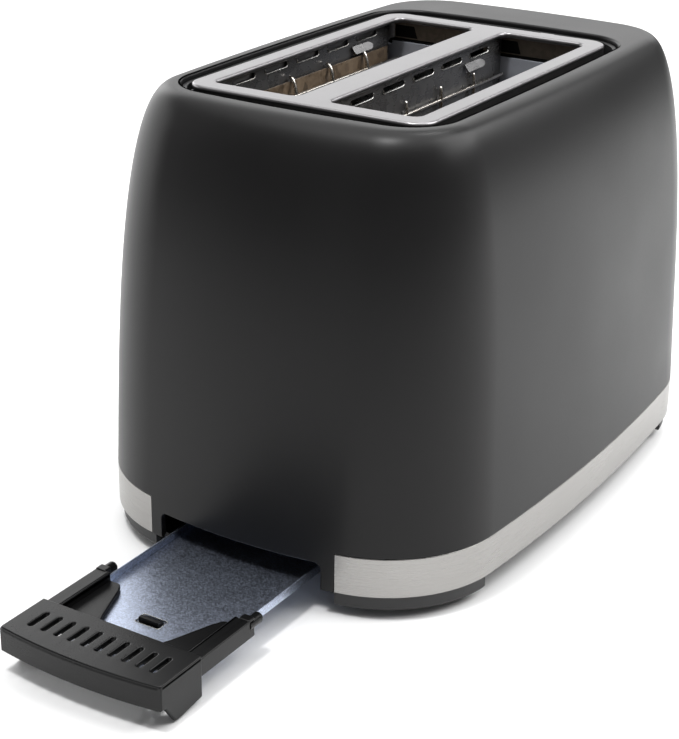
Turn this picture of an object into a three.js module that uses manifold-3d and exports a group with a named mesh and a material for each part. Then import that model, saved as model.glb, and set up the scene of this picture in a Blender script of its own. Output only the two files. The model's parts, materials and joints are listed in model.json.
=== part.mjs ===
// Two-slot pop-up toaster with its crumb tray pulled out. Millimetres, +Z up, z = 0 under the feet.
// Inside the body group, -X is the tray end, +X the control end, and x = 0 the middle of the base.
import * as THREE from "three";
import { mergeVertices } from "three/addons/utils/BufferGeometryUtils.js";
import Module from "manifold-3d";

const wasm = await Module();
wasm.setup();

// ---- driving dimensions ----
const GAP = 0.3; // clearance between pieces that rest on each other
const BASE = { a: 134.94, b: 90.29, side: 926.5, end: 231.1, corner: 51.85 }; // plan of the foot of the shell
const LIP = { corner: 20.05, side: 2646, end: 617 }; // plan radii of the top recess
const FOOT_PAD = 3.3; // height of the pads under the corner feet
const BAND = { z0: 10.2, z1: 26.8, thick: 1.0, gap: 43.5 };
const SHELL_TOP = 184.9;
const WALL = 2.6;
const TRAY_END = { lean: 0.0562, rise: 132.2, run: 25.35, lip: 37.24 };
const CONTROL_END = { lean: 0.0562, rise: 99.3, run: 19.65, lip: 54.11 };
const LONG_SIDE = { lean: 0.0414, rise: 116.6, run: 20.95, lip: 29.59 };
const SHOULDER_POWER = 2.58;
const TRIM = { x: -10.04, a: 79.72, b: 54.0, corner: 9, top: 185.0, depth: 10.7, hem: 2.4, sheet: 1.2 };
const SLOT = { a: 70.85, y0: 7.12, y1: 45.95, corner: 3.5 };
const SLOT_MIDDLE = (SLOT.y0 + SLOT.y1) / 2;
const INSERT = { floor: 172, sheet: 2, rim: 183 };
const CHAMBER = { x0: -85, x1: 64, z0: 22, top: 173.3 }; // between the two chassis plates
const SHEET = 1;
const BASE_PLATE = { z0: 7.6, z1: 9.9, inset: 4.5 };
const SCREW = { x: 60, y: 81.5, shank: 1.5, head: 3.2, bore: 1.9, boss: 4.6, bossTop: 32, boreTop: 28 };
const CORNER_FOOT = { x: 86, y: 42.6, outside: 1.6, inside: 24, padX: 106, padY: 58, pad: 8 };
const RAIL = { x0: -104, x1: 58, y0: 36.6, y1: 38.4, top: 19.5 }; // the crumb tray slides between these
const TRAY_DOOR = { half: 37.85, top: 21.6, corner: 3 };
const HANDLE = {
  front: -231.5, depth: 26.5, half: 36, top: 18.9, bottom: 0.6, face: 10.3, wall: 2.2, bow: 2.8,
};
const HANDLE_BACK = HANDLE.front + HANDLE.depth;
const HANDLE_SLOTS = { count: 10, pitch: 6.13, x: HANDLE.front + 14.2, length: 10.6, width: 2.2 };
const ARM = { inner: 30.3, y0: 32.2, y1: 35.6, length: 33, top: 17.5, peg: 2.2 };
const PAN = { x0: -205.5, length: 166, half: 31.5, z: 11, sheet: 0.8, rim: 4 };
const PAN_CLIP = { x0: HANDLE_BACK + 14.5, x1: HANDLE_BACK + 20.5, half: 5.4, tab: 4.6, z0: 10.1, tip: 13.4 };
const TRAVEL = 76; // how far the carriage goes down
const RACK = { z: 102, height: 6, fins: 7, pitch: 20.5, reach: 8 };
const ROD = { x: 80, radius: 2.5, z0: 11, z1: 167 };
const SPRING = { z0: 15.2, inner: 3.2, outer: 4.6 };
const LEVER = { z: 152, slot: 5.4, margin: 5, stem: 3.8, stemEnd: 133, grip: 17, tip: 153 };
const DIAL = { z: 45.3, radius: 12.5, face: 133.2, shaft: 3 };
const PANEL = { half: 24, z0: 28.3, z1: 62.3, corner: 6, thick: 3 };
const BUTTON = { y: 27, z: { reheat: 80, defrost: 100, cancel: 120 }, radius: 6, out: 3.2, stem: 2 };
const BOARD = { x: 92, sheet: 1.6, y0: -24, y1: 54, z0: 22, z1: 140, step: 62, notch: 13 };
const ON_BOARD = BOARD.x + BOARD.sheet + GAP;
const MAGNET = { x0: 74, x1: 86, y: -17, half: 8, limb: 3, z0: 11, z1: 22.8 };
const CORD = { y: 48, z: 36, outlet: 6.4, bore: 3.9 };
const REFLECTOR = { y: 51.6, sheet: 0.7, foot: 46, top: 183.4, short: 2 };
const CHANNEL = { half: 4.7, sheet: 0.8, z0: 149, z1: 183.4 };
const AIR_HOLES = { count: 5, x: -52.6, pitch: 23.9, z: 179.2, length: 17, width: 2.4 };
const CARD = { sheet: 0.6, z0: 36, z1: 172, margin: 6, notch: 1.5 };
const RIBBON = { runs: 11, pitch: 12, z: 42, width: 2, sheet: 0.6, margin: 9 };
const GUARD = { z0: 30, middle: 100, z1: 166, top: 170, wire: 1.6, count: 5, x: -77.8, pitch: 28.6 };
const BODY_X = -(HANDLE.front + LEVER.tip) / 2; // puts the whole object's middle on x = 0
const BEYOND = 50; // how far a cutting solid runs past what it cuts

const FINISH = {
  shell: [0x2b2b2c, 0.62, 0.0], steel: [0xb9b6b2, 0.32, 1.0], satin: [0xc9c5c8, 0.36, 1.0],
  plastic: [0x1f1f20, 0.5, 0.0], rubber: [0x141414, 0.9, 0.0], zinc: [0x79818c, 0.42, 1.0],
  mica: [0xa08a62, 0.55, 0.0], ribbon: [0x8a8580, 0.4, 1.0], board: [0x7d5a2c, 0.6, 0.0],
  copper: [0xa85b32, 0.4, 1.0], brass: [0xb8964a, 0.35, 1.0], ceramic: [0xd8d4c6, 0.6, 0.0],
};

// ---- shape helpers ----
function solid(geometry) {
  const bare = geometry.clone();
  bare.deleteAttribute("normal");
  bare.deleteAttribute("uv");
  const merged = mergeVertices(bare, 1e-4);
  return new wasm.Manifold(new wasm.Mesh({
    numProp: 3,
    vertProperties: new Float32Array(merged.attributes.position.array),
    triVerts: new Uint32Array(merged.index.array),
  }));
}

function geometryOf(manifold) {
  const mesh = manifold.getMesh();
  const geometry = new THREE.BufferGeometry();
  geometry.setAttribute("position", new THREE.BufferAttribute(new Float32Array(mesh.vertProperties), 3));
  geometry.setIndex(new THREE.BufferAttribute(new Uint32Array(mesh.triVerts), 1));
  geometry.computeVertexNormals();
  return geometry;
}

function join(first, ...rest) {
  return geometryOf(rest.reduce((sum, next) => sum.add(solid(next)), solid(first)));
}

function cut(first, ...rest) {
  return geometryOf(rest.reduce((sum, next) => sum.subtract(solid(next)), solid(first)));
}

const common = (first, second) => geometryOf(solid(first).intersect(solid(second)));

function box(x0, x1, y0, y1, z0, z1) {
  const geometry = new THREE.BoxGeometry(x1 - x0, y1 - y0, z1 - z0);
  return geometry.translate((x0 + x1) / 2, (y0 + y1) / 2, (z0 + z1) / 2);
}

function prism(points, z0, z1, holes = []) {
  const shape = new THREE.Shape(points);
  shape.holes = holes.map((hole) => new THREE.Path(hole));
  const geometry = new THREE.ExtrudeGeometry(shape, { depth: z1 - z0, bevelEnabled: false, steps: 1 });
  return geometry.translate(0, 0, z0);
}

// A prism whose section lies in the YZ plane, from x0 to x1.
function prismX(points, x0, x1, holes = []) {
  const turn = new THREE.Matrix4().makeBasis(
    new THREE.Vector3(0, 1, 0), new THREE.Vector3(0, 0, 1), new THREE.Vector3(1, 0, 0));
  return prism(points, x0, x1, holes).applyMatrix4(turn);
}

// A prism whose section lies in the XZ plane, from y0 to y1.
function prismY(points, y0, y1, holes = []) {
  const turn = new THREE.Matrix4().makeBasis(
    new THREE.Vector3(1, 0, 0), new THREE.Vector3(0, 0, 1), new THREE.Vector3(0, -1, 0));
  return prism(points, -y1, -y0, holes).applyMatrix4(turn);
}

function rodX(x0, x1, y, z, radius, sides = 20) {
  const geometry = new THREE.CylinderGeometry(radius, radius, x1 - x0, sides);
  return geometry.rotateZ(-Math.PI / 2).translate((x0 + x1) / 2, y, z);
}

function rodZ(x, y, z0, z1, radius, sides = 20) {
  const geometry = new THREE.CylinderGeometry(radius, radius, z1 - z0, sides);
  return geometry.rotateX(Math.PI / 2).translate(x, y, (z0 + z1) / 2);
}

function arc(x, y, radius, from, to, steps) {
  return Array.from({ length: steps + 1 }, (_, i) => {
    const angle = from + ((to - from) * i) / steps;
    return new THREE.Vector2(x + radius * Math.cos(angle), y + radius * Math.sin(angle));
  });
}

function roundedRect(u0, u1, v0, v1, radius, steps = 3) {
  const quarter = Math.PI / 2;
  return [
    ...arc(u1 - radius, v1 - radius, radius, 0, quarter, steps),
    ...arc(u0 + radius, v1 - radius, radius, quarter, 2 * quarter, steps),
    ...arc(u0 + radius, v0 + radius, radius, 2 * quarter, 3 * quarter, steps),
    ...arc(u1 - radius, v0 + radius, radius, 3 * quarter, 4 * quarter, steps),
  ];
}

// Closed plan of four quarters, each an end arc, a corner arc and a side arc that meet smoothly.
function plan({ a, b, side, end, corner }, x = 0) {
  const sideCentre = new THREE.Vector2(0, b - side);
  const endCentre = new THREE.Vector2(a - end, 0);
  const fromSide = side - corner;
  const fromEnd = end - corner;
  const between = endCentre.clone().sub(sideCentre);
  const apart = between.length();
  const along = (fromSide ** 2 - fromEnd ** 2 + apart ** 2) / (2 * apart);
  const off = Math.sqrt(Math.max(fromSide ** 2 - along ** 2, 0));
  between.normalize();
  const centre = sideCentre.clone().addScaledVector(between, along)
    .add(new THREE.Vector2(between.y, -between.x).multiplyScalar(off));
  const endAngle = Math.atan2(centre.y - endCentre.y, centre.x - endCentre.x);
  const sideAngle = Math.atan2(centre.y - sideCentre.y, centre.x - sideCentre.x);
  const quarter = [
    ...arc(endCentre.x, endCentre.y, end, 0, endAngle, 2),
    ...arc(centre.x, centre.y, corner, endAngle, sideAngle, 6).slice(1),
    ...arc(sideCentre.x, sideCentre.y, side, sideAngle, Math.PI / 2, 3).slice(1),
  ];
  const mirrored = (sx, sy) => quarter.map((p) => new THREE.Vector2(sx * p.x, sy * p.y));
  const ring = [
    ...mirrored(1, 1), ...mirrored(-1, 1).reverse().slice(1),
    ...mirrored(-1, -1).slice(1), ...mirrored(1, -1).reverse().slice(1, -1),
  ];
  return ring.map((p) => new THREE.Vector2(p.x + x, p.y));
}

function inset({ a, b, side, end, corner }, by) {
  return { a: a - by, b: b - by, side: side - by, end: end - by, corner: corner - by };
}

function loft(rings, heights) {
  const count = rings[0].length;
  const positions = rings.flatMap((ring, k) => ring.flatMap((p) => [p.x, p.y, heights[k]]));
  const index = [];
  for (let k = 0; k < rings.length - 1; k += 1) {
    for (let i = 0; i < count; i += 1) {
      const [p, q] = [k * count + i, k * count + ((i + 1) % count)];
      index.push(p, q, q + count, p, q + count, p + count);
    }
  }
  const last = (rings.length - 1) * count;
  for (const [p, q, r] of THREE.ShapeUtils.triangulateShape(rings[0], [])) index.push(r, q, p);
  for (const [p, q, r] of THREE.ShapeUtils.triangulateShape(rings.at(-1), [])) {
    index.push(last + p, last + q, last + r);
  }
  const geometry = new THREE.BufferGeometry();
  geometry.setAttribute("position", new THREE.Float32BufferAttribute(positions, 3));
  return geometry.setIndex(index);
}

// ---- outer shell ----
function leanIn(face, z, top) {
  const q = THREE.MathUtils.clamp((z - (top - face.rise)) / face.rise, 0, 1);
  const shoulder = face.run * (1 - Math.max(1 - q ** SHOULDER_POWER, 0) ** (1 / SHOULDER_POWER));
  return face.lean * Math.max(z - BAND.z1, 0) + shoulder;
}

function shellRing(z, top, by) {
  const tray = leanIn(TRAY_END, z, top) + by;
  const control = leanIn(CONTROL_END, z, top) + by;
  const sides = leanIn(LONG_SIDE, z, top);
  const share = sides / LONG_SIDE.lip;
  const blend = (low, high) => 1 / ((1 - share) / low + share / high);
  return plan({
    a: BASE.a - (tray + control) / 2,
    b: BASE.b - sides - by,
    side: blend(BASE.side, LIP.side),
    end: blend(BASE.end, LIP.end),
    corner: BASE.corner + (LIP.corner - BASE.corner) * share,
  }, (tray - control) / 2);
}

function shellBody(top, bottom, by, levels) {
  const heights = [bottom];
  for (let k = 0; k <= levels; k += 1) {
    heights.push(BAND.z1 + (top - BAND.z1) * (1 - (1 - k / levels) ** 2.2));
  }
  return loft(heights.map((z) => shellRing(z, top, by)), heights);
}

function lipPlan(by) {
  const a = BASE.a - (TRAY_END.lip + CONTROL_END.lip) / 2;
  return plan(inset({ a, b: BASE.b - LONG_SIDE.lip, ...LIP }, by), (TRAY_END.lip - CONTROL_END.lip) / 2);
}

function bandSector(outside, inside, z0, z1, gap) {
  const ring = prism(plan(inset(BASE, outside)), z0, z1, [plan(inset(BASE, inside))]);
  return cut(ring, box(-BASE.a - BEYOND, -BASE.a + BEYOND, -gap, gap, z0 - 5, z1 + 5));
}

const SCREWS = [[-1, 1], [-1, -1], [1, 1], [1, -1]].map(([sx, sy]) => [sx * SCREW.x, sy * SCREW.y]);
const across = (side, u, v) => [Math.min(side * u, side * v), Math.max(side * u, side * v)];

// Everything that goes through the shell's own wall.
function shellOpenings() {
  const { half, top, corner } = TRAY_DOOR;
  const door = roundedRect(-half, half, -10, top, corner);
  const low = LEVER.z - TRAVEL - LEVER.margin;
  const lever = roundedRect(-LEVER.slot / 2, LEVER.slot / 2, low, LEVER.z + LEVER.margin, 2.6);
  const [side, z0, z1] = [PANEL.half + GAP, PANEL.z0 - GAP, PANEL.z1 + GAP];
  const [x0, x1] = [CHAMBER.x1 + 40, BASE.a + 10];
  return [
    prismX(door, -BASE.a - 10, -BASE.a + 20),
    prismX(lever, x0, x1),
    prismX(roundedRect(-side, side, z0, z1, PANEL.corner), DIAL.face - 13, x1),
    rodX(x0, x1, CORD.y, CORD.z, CORD.outlet, 16),
    ...Object.values(BUTTON.z).map((z) => rodX(x0, x1, BUTTON.y, z, BUTTON.radius + 0.4)),
  ];
}

function outerShell() {
  const inside = shellBody(SHELL_TOP - WALL, BAND.z0 - 2, WALL, 9);
  const skin = cut(shellBody(SHELL_TOP, BAND.z0, 0, 13), inside);
  const bosses = SCREWS.map(([x, y]) => rodZ(x, y, BAND.z0, SCREW.bossTop, SCREW.boss, 12));
  const bores = SCREWS.map(([x, y]) => rodZ(x, y, BAND.z0 - 1, SCREW.boreTop, SCREW.bore, 12));
  const groove = bandSector(-2, BAND.thick + GAP, BAND.z0 - 2, BAND.z1 + GAP, BAND.gap - GAP);
  const recess = prism(lipPlan(0), SHELL_TOP - 12, SHELL_TOP + 5);
  return cut(join(skin, ...bosses), ...bores, groove, recess, ...shellOpenings());
}

// ---- base ----
function basePlate() {
  const plate = prism(plan(inset(BASE, BASE_PLATE.inset)), BASE_PLATE.z0, BASE_PLATE.z1);
  const rails = [1, -1].map((side) =>
    box(RAIL.x0, RAIL.x1, ...across(side, RAIL.y0, RAIL.y1), BASE_PLATE.z0 + 1, RAIL.top));
  const notch = box(-BASE.a - BEYOND, -102, -TRAY_DOOR.half, TRAY_DOOR.half, 0, RAIL.top + BEYOND);
  const holes = SCREWS.map(([x, y]) => rodZ(x, y, 0, 20, SCREW.bore + 0.1, 12));
  return cut(join(plate, ...rails), notch, ...holes);
}

function cornerFoot(sx, sy) {
  const { x, y, outside, inside, padX, padY, pad } = CORNER_FOOT;
  const ring = (outer, inner, z1) =>
    prism(plan(inset(BASE, outer)), FOOT_PAD, z1, [plan(inset(BASE, inner))]);
  const lip = ring(outside, BASE_PLATE.inset - GAP, BASE_PLATE.z1);
  const sole = ring(outside + 0.1, inside, BASE_PLATE.z0 - GAP);
  const corner = box(...across(sx, x, x + BEYOND), ...across(sy, y, y + BEYOND), 0, BAND.z0);
  return join(common(join(lip, sole), corner), rodZ(sx * padX, sy * padY, 0, FOOT_PAD + 1, pad, 16));
}

function baseScrew([x, y]) {
  const head = rodZ(x, y, 6, BASE_PLATE.z0 - GAP, SCREW.head, 12);
  return join(head, rodZ(x, y, 7, 24, SCREW.shank, 8));
}

// ---- top ----
function slotPlan(side, grow) {
  const reach = SLOT.a + grow;
  const [low, high] = across(side, SLOT.y0 - grow, SLOT.y1 + grow);
  return roundedRect(TRIM.x - reach, TRIM.x + reach, low, high, SLOT.corner);
}

// A flat top with a deep flange round the outside and a short hem round each slot.
function trimFrame() {
  const { x, a, b, corner, top, depth, hem, sheet } = TRIM;
  const outer = (by) => roundedRect(x - a + by, x + a - by, -b + by, b - by, corner - by, 5);
  const slots = (grow) => [slotPlan(1, grow), slotPlan(-1, grow)];
  const frame = prism(outer(0), top - depth, top, slots(0));
  const hollow = prism(outer(sheet), top - depth - 1, top - sheet, slots(sheet));
  const hems = slots(sheet).map((slot) => prism(slot, top - depth - 1, top - hem));
  return cut(frame, hollow, ...hems);
}

// The floor and rim of the recess around the trim, open over the toasting chamber.
function recessInsert() {
  const { floor, sheet, rim } = INSERT;
  const block = prism(lipPlan(0.4), floor, rim);
  const well = prism(lipPlan(0.4 + sheet), floor + sheet, rim + 1);
  const [margin, half] = [1.4, 53.1];
  const opening = box(CHAMBER.x0 - margin, CHAMBER.x1 + margin, -half, half, floor - 1, floor + sheet + 1);
  return cut(block, well, opening);
}

// ---- crumb tray ----
// Plan of the handle: a bowed front and a straight back.
function handlePlan() {
  const { front, half, bow } = HANDLE;
  const radius = (half ** 2 + bow ** 2) / (2 * bow);
  const swing = Math.asin(half / radius);
  const bowed = arc(front + radius, 0, radius, Math.PI - swing, Math.PI + swing, 10);
  return [...bowed, new THREE.Vector2(HANDLE_BACK, -half), new THREE.Vector2(HANDLE_BACK, half)];
}

function obround(x, y, length, width, steps = 4) {
  const [half, r] = [length / 2 - width / 2, width / 2];
  const quarter = Math.PI / 2;
  return [
    ...arc(x + half, y, r, -quarter, quarter, steps),
    ...arc(x - half, y, r, quarter, 3 * quarter, steps),
  ];
}

// The grip: a shallow tray turned upside down, with a leg at each side and an open front under its face.
function handleGrip() {
  const { front, half, top, bottom, face, wall, bow } = HANDLE;
  const legs = half - wall;
  const under = box(front + wall + bow, HANDLE_BACK + 5, -legs, legs, bottom - 5, top - wall);
  const below = box(front - 5, HANDLE_BACK + 5, -legs, legs, bottom - 5, top - face);
  const chin = [[-5, bottom - 5], [10, bottom - 5], [10, bottom], [5, top - face], [-5, top - face]]
    .map(([x, z]) => new THREE.Vector2(front + x, z));
  return cut(prism(handlePlan(), bottom, top), under, below, prismY(chin, -half - 5, half + 5));
}

// One side's gusset on the pan floor, and its arm over the pan's rim with a peg on the end.
function handleArm(side) {
  const floor = PAN.z + PAN.sheet + GAP;
  const back = HANDLE_BACK;
  const start = back - 0.5;
  const end = back + 30;
  const web = [[start, 14], [start, ARM.inner], [end, ARM.inner], [end, 26], [back + 25, 24], [back + 8, 17]]
    .map(([x, y]) => new THREE.Vector2(x, side * y));
  return [
    prism(web, floor, floor + 1.9),
    box(start, end, ...across(side, ARM.inner - 1.4, ARM.inner), floor, ARM.top),
    box(start, end, ...across(side, ARM.inner - 1.4, 33), PAN.z + PAN.rim + GAP, ARM.top),
    box(start, back + ARM.length, ...across(side, ARM.y0, ARM.y1), PAN.z - 1, ARM.top),
    rodX(back + ARM.length - 1, back + ARM.length + 5, side * 33.8, 15, ARM.peg, 10),
  ];
}

function trayHandle() {
  const { count, pitch, x, length, width } = HANDLE_SLOTS;
  const slots = Array.from({ length: count }, (_, i) =>
    prism(obround(x, (i - (count - 1) / 2) * pitch, length, width), PAN.z, HANDLE.top + 1));
  const bridge = box(HANDLE_BACK - 3, HANDLE_BACK + 0.2, -30, 30, PAN.z + PAN.sheet + GAP, HANDLE.top - 1);
  const { x0, x1, tab, z0, tip } = PAN_CLIP;
  const clip = join(
    box(HANDLE_BACK - 3, PAN.x0 - GAP, -tab, tab, z0, HANDLE.top - 1),
    box(HANDLE_BACK - 3, x1 - 1.2, -tab, tab, z0, PAN.z - GAP),
    box(x0 + 1.2, x1 - 1.2, -tab, tab, z0, tip));
  return cut(join(handleGrip(), ...handleArm(1), ...handleArm(-1), bridge, clip), ...slots);
}

function trayPan() {
  const { x0, length, half, z, sheet, rim } = PAN;
  const outer = box(x0, x0 + length, -half, half, z, z + rim);
  const inner = box(x0 - 5, x0 + length - sheet, -half + sheet, half - sheet, z + sheet, z + rim + 5);
  return cut(outer, inner, box(PAN_CLIP.x0, PAN_CLIP.x1, -PAN_CLIP.half, PAN_CLIP.half, z - 1, z + 5));
}

// ---- chassis ----
const END_PLATE = { half: 56, neck: 51, z0: BASE_PLATE.z1 + GAP, shoulder: INSERT.floor - GAP };
const RACK_SLOT = { half: 2.4, z0: RACK.z - TRAVEL - 3, z1: RACK.z + RACK.height + 4 };

// An end plate of the chassis, with a narrower neck that reaches through the recess insert.
function endPlate(x0) {
  const { half, neck, z0, shoulder } = END_PLATE;
  return join(box(x0, x0 + SHEET, -half, half, z0, shoulder),
    box(x0, x0 + SHEET, -neck, neck, shoulder - 1, CHAMBER.top));
}

function trayChassisPlate() {
  const { x0, z0 } = CHAMBER;
  return cut(endPlate(x0 - SHEET), box(x0 - 5, x0 + 5, -39, 39, 0, z0));
}

function controlChassisPlate() {
  const { x1 } = CHAMBER;
  const { half, z0, z1 } = RACK_SLOT;
  const tabs = [13, 163].map((z) => box(x1, ROD.x + 6, -7, 7, z, z + 1.5)); // these hold the guide rod
  const slots = [1, -1].map((side) =>
    box(x1 - 5, x1 + 5, ...across(side, SLOT_MIDDLE - half, SLOT_MIDDLE + half), z0, z1));
  return cut(join(endPlate(x1), ...tabs), ...slots, rodZ(ROD.x, 0, 5, 175, ROD.radius + GAP, 12));
}

function airHoles(y0, y1) {
  const { count, x, pitch, z, length, width } = AIR_HOLES;
  return Array.from({ length: count }, (_, i) => prismY(obround(x + pitch * i, z, length, width), y0, y1));
}

function reflector(side) {
  const { y, sheet, foot, top, short } = REFLECTOR;
  const [x0, x1] = [CHAMBER.x0 + short, CHAMBER.x1 - short];
  const wall = box(x0, x1, ...across(side, y, y + sheet), CHAMBER.z0 + 2, top);
  const hem = box(x0, x1, ...across(side, foot, y + sheet / 2), CHAMBER.z0 + 2, CHAMBER.z0 + 2 + sheet);
  return cut(join(wall, hem), ...airHoles(-y - 8, y + 8));
}

function centreChannel() {
  const [x0, x1] = [CHAMBER.x0 + GAP, CHAMBER.x1 - GAP];
  const { half, sheet, z0, z1 } = CHANNEL;
  const block = box(x0, x1, -half, half, z0, z1);
  const inside = box(x0 - 5, x1 + 5, -half + sheet, half - sheet, z0 - 9, z1 - sheet);
  return cut(block, inside, ...airHoles(-10, 10));
}

const ribbonRuns = Array.from({ length: RIBBON.runs }, (_, i) => RIBBON.z + i * RIBBON.pitch);

function heaterCard(y) {
  const { sheet, z0, z1, margin, notch } = CARD;
  const [x0, x1] = [CHAMBER.x0 + margin, CHAMBER.x1 - margin];
  const notches = ribbonRuns.flatMap((z) =>
    [x0, x1].map((x) => box(x - notch, x + notch, y - 2, y + 2, z, z + RIBBON.width + 0.5)));
  return cut(box(x0, x1, y - sheet / 2, y + sheet / 2, z0, z1), ...notches);
}

// One flat ribbon that runs to and fro in front of a card.
function heatingRibbon(y) {
  const { width, pitch, margin } = RIBBON;
  const [x0, x1] = [CHAMBER.x0 + margin, CHAMBER.x1 - margin];
  const [y0, y1] = [y - RIBBON.sheet / 2, y + RIBBON.sheet / 2];
  const runs = ribbonRuns.map((z) => box(x0, x1, y0, y1, z, z + width));
  const turns = ribbonRuns.slice(1).map((z, i) => {
    const x = i % 2 ? x0 : x1 - width;
    return box(x, x + width, y0, y1, z - pitch, z + width);
  });
  return join(...runs, ...turns);
}

function breadGuard(y) {
  const half = GUARD.wire / 2;
  const [x0, x1] = [CHAMBER.x0 + 1, CHAMBER.x1 - 1];
  const bars = [GUARD.z0, GUARD.middle, GUARD.z1].map((z) =>
    box(x0, x1, y - half, y + half, z - half, z + half));
  const wires = Array.from({ length: GUARD.count }, (_, i) => {
    const x = GUARD.x + i * GUARD.pitch;
    return box(x - half, x + half, y - half + 0.1, y + half - 0.1, GUARD.z0, GUARD.top);
  });
  return join(...bars, ...wires);
}

// ---- carriage ----
const CARRIAGE_X = CHAMBER.x1 + 6;
const rodBore = (sides) => rodZ(ROD.x, 0, 0, 200, ROD.radius + GAP, sides);

function carriageBracket() {
  const x = CARRIAGE_X;
  const plate = box(x, x + 3, -14, 14, RACK.z, LEVER.z + 4);
  const crossbar = box(x, x + 3, -31, 31, RACK.z, RACK.z + 8);
  const boss = box(x + 2, ROD.x + 6, -6, 6, RACK.z + 6, LEVER.z + 3);
  const half = LEVER.stem / 2;
  const stem = box(ROD.x + 4, LEVER.stemEnd, -half, half, LEVER.z - 3, LEVER.z + 3);
  return cut(join(plate, crossbar, boss, stem), rodBore(16));
}

function breadRack(y) {
  const { z, height, fins, pitch, reach } = RACK;
  const x0 = CHAMBER.x0 + 8;
  const bar = box(x0, CARRIAGE_X - GAP, y - 1.2, y + 1.2, z, z + height);
  const combs = Array.from({ length: fins }, (_, i) => {
    const x = x0 + 6 + i * pitch;
    return box(x, x + 1.2, y - reach, y + reach, z + 2, z + height + 2.5);
  });
  return join(bar, ...combs);
}

function leverKnob() {
  const face = LEVER.stemEnd + GAP;
  const { tip, grip, z } = LEVER;
  const outline = [
    [face, -7], [face + 7, -7], [tip - 3, -9], [tip, -6], [tip, 4], [tip - 4, 6.5], [face, 6.5],
  ].map(([x, rise]) => new THREE.Vector2(x, z + rise));
  return prismY(outline, -grip, grip);
}

const liftSpring = () => cut(
  rodZ(ROD.x, 0, SPRING.z0, RACK.z + 6 - GAP, SPRING.outer, 14), rodZ(ROD.x, 0, 0, 200, SPRING.inner, 14));

const armature = () => box(
  CARRIAGE_X, MAGNET.x1, MAGNET.y - MAGNET.half, MAGNET.y + MAGNET.half, RACK.z - GAP - 2, RACK.z - GAP);

// ---- controls ----
function controlPanel() {
  const outline = roundedRect(-PANEL.half, PANEL.half, PANEL.z0, PANEL.z1, PANEL.corner);
  const plate = prismX(outline, DIAL.face - PANEL.thick, DIAL.face);
  return cut(plate, rodX(DIAL.face - 10, DIAL.face + 10, 0, DIAL.z, DIAL.shaft + 1));
}

function browningKnob() {
  const x0 = DIAL.face + 1;
  const skirt = rodX(x0, x0 + 3, 0, DIAL.z, DIAL.radius + 1.5, 32);
  const cap = rodX(x0 + 2, x0 + 14, 0, DIAL.z, DIAL.radius - 1, 32);
  const pointer = box(x0 + 4, x0 + 15, -1.2, 1.2, DIAL.z + 2, DIAL.z + DIAL.radius - 1.5);
  return join(skirt, cap, pointer);
}

const browningShaft = () => rodX(ON_BOARD + 9 + GAP, DIAL.face + 1 - GAP, 0, DIAL.z, DIAL.shaft, 14);

function pushButton(z) {
  const { y, radius, out, stem } = BUTTON;
  const face = BASE.a - TRAY_END.lean * (z - BAND.z1) - y ** 2 / (2 * BASE.end);
  const cap = rodX(face - 7, face + out, y, z, radius);
  return join(cap, rodX(ON_BOARD + 5.3, face - 6, y, z, stem, 10));
}

function circuitBoard() {
  const { x, sheet, y0, y1, z0, z1, step, notch } = BOARD;
  const outline = [[y0, z0], [y1, z0], [y1, z1], [notch, z1], [notch, step], [y0, step]]
    .map(([y, z]) => new THREE.Vector2(y, z));
  return prismX(outline, x, x + sheet);
}

function tactSwitch(z) {
  const y = BUTTON.y;
  const housing = box(ON_BOARD, ON_BOARD + 3, y - 3, y + 3, z - 3, z + 3);
  return join(housing, rodX(ON_BOARD + 2, ON_BOARD + 3.7, y, z, 1.6, 10));
}

function potentiometer() {
  const can = rodX(ON_BOARD, ON_BOARD + 9, 0, DIAL.z, 9);
  return join(can, box(ON_BOARD, ON_BOARD + 3, -7, 7, DIAL.z - 13, DIAL.z));
}

function contactBlade(y) {
  const back = BOARD.x - GAP;
  const outline = [[84, 22], [back, 22], [back, 42], [back - 1, 42], [back - 1, 23], [84, 23]]
    .map(([x, z]) => new THREE.Vector2(x, z));
  return prismY(outline, y, y + 5);
}

function magnetCore() {
  const { x0, x1, y, half, limb, z0, z1 } = MAGNET;
  const block = box(x0, x1, y - half, y + half, z0, z1);
  return cut(block, box(x0 - 1, x1 + 1, y - half + limb, y + half - limb, z0 + limb, z1 + 1));
}

const magnetCoil = () => box(
  MAGNET.x0 - 1.5, MAGNET.x1 + 1.5, MAGNET.y - 4.6, MAGNET.y + 4.6, MAGNET.z0 + 3.4, MAGNET.z1 - 1);

function cordGland() {
  const { y, z, bore } = CORD;
  const face = BASE.a - y ** 2 / (2 * BASE.end);
  const sleeve = rodX(face - 14, face + 2, y, z, CORD.outlet - 0.4, 20);
  const flange = rodX(face + 1.7, face + 4.5, y, z, 8.5, 20);
  return cut(join(sleeve, flange), rodX(face - 20, face + 10, y, z, bore, 16));
}

function terminalBlock() {
  const block = box(98, 114, CORD.y - 10, CORD.y + 10, END_PLATE.z0, 26);
  return cut(block, ...[-5, 0, 5].map((dy) => rodZ(106, CORD.y + dy, 18, 30, 1.8, 10)));
}

// ---- assembly ----
const body = new THREE.Group();
body.position.x = BODY_X;

function add(name, geometry, finish) {
  const [color, roughness, metalness] = FINISH[finish];
  const mesh = new THREE.Mesh(geometry, new THREE.MeshStandardMaterial({ color, roughness, metalness }));
  mesh.name = name;
  body.add(mesh);
}

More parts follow.
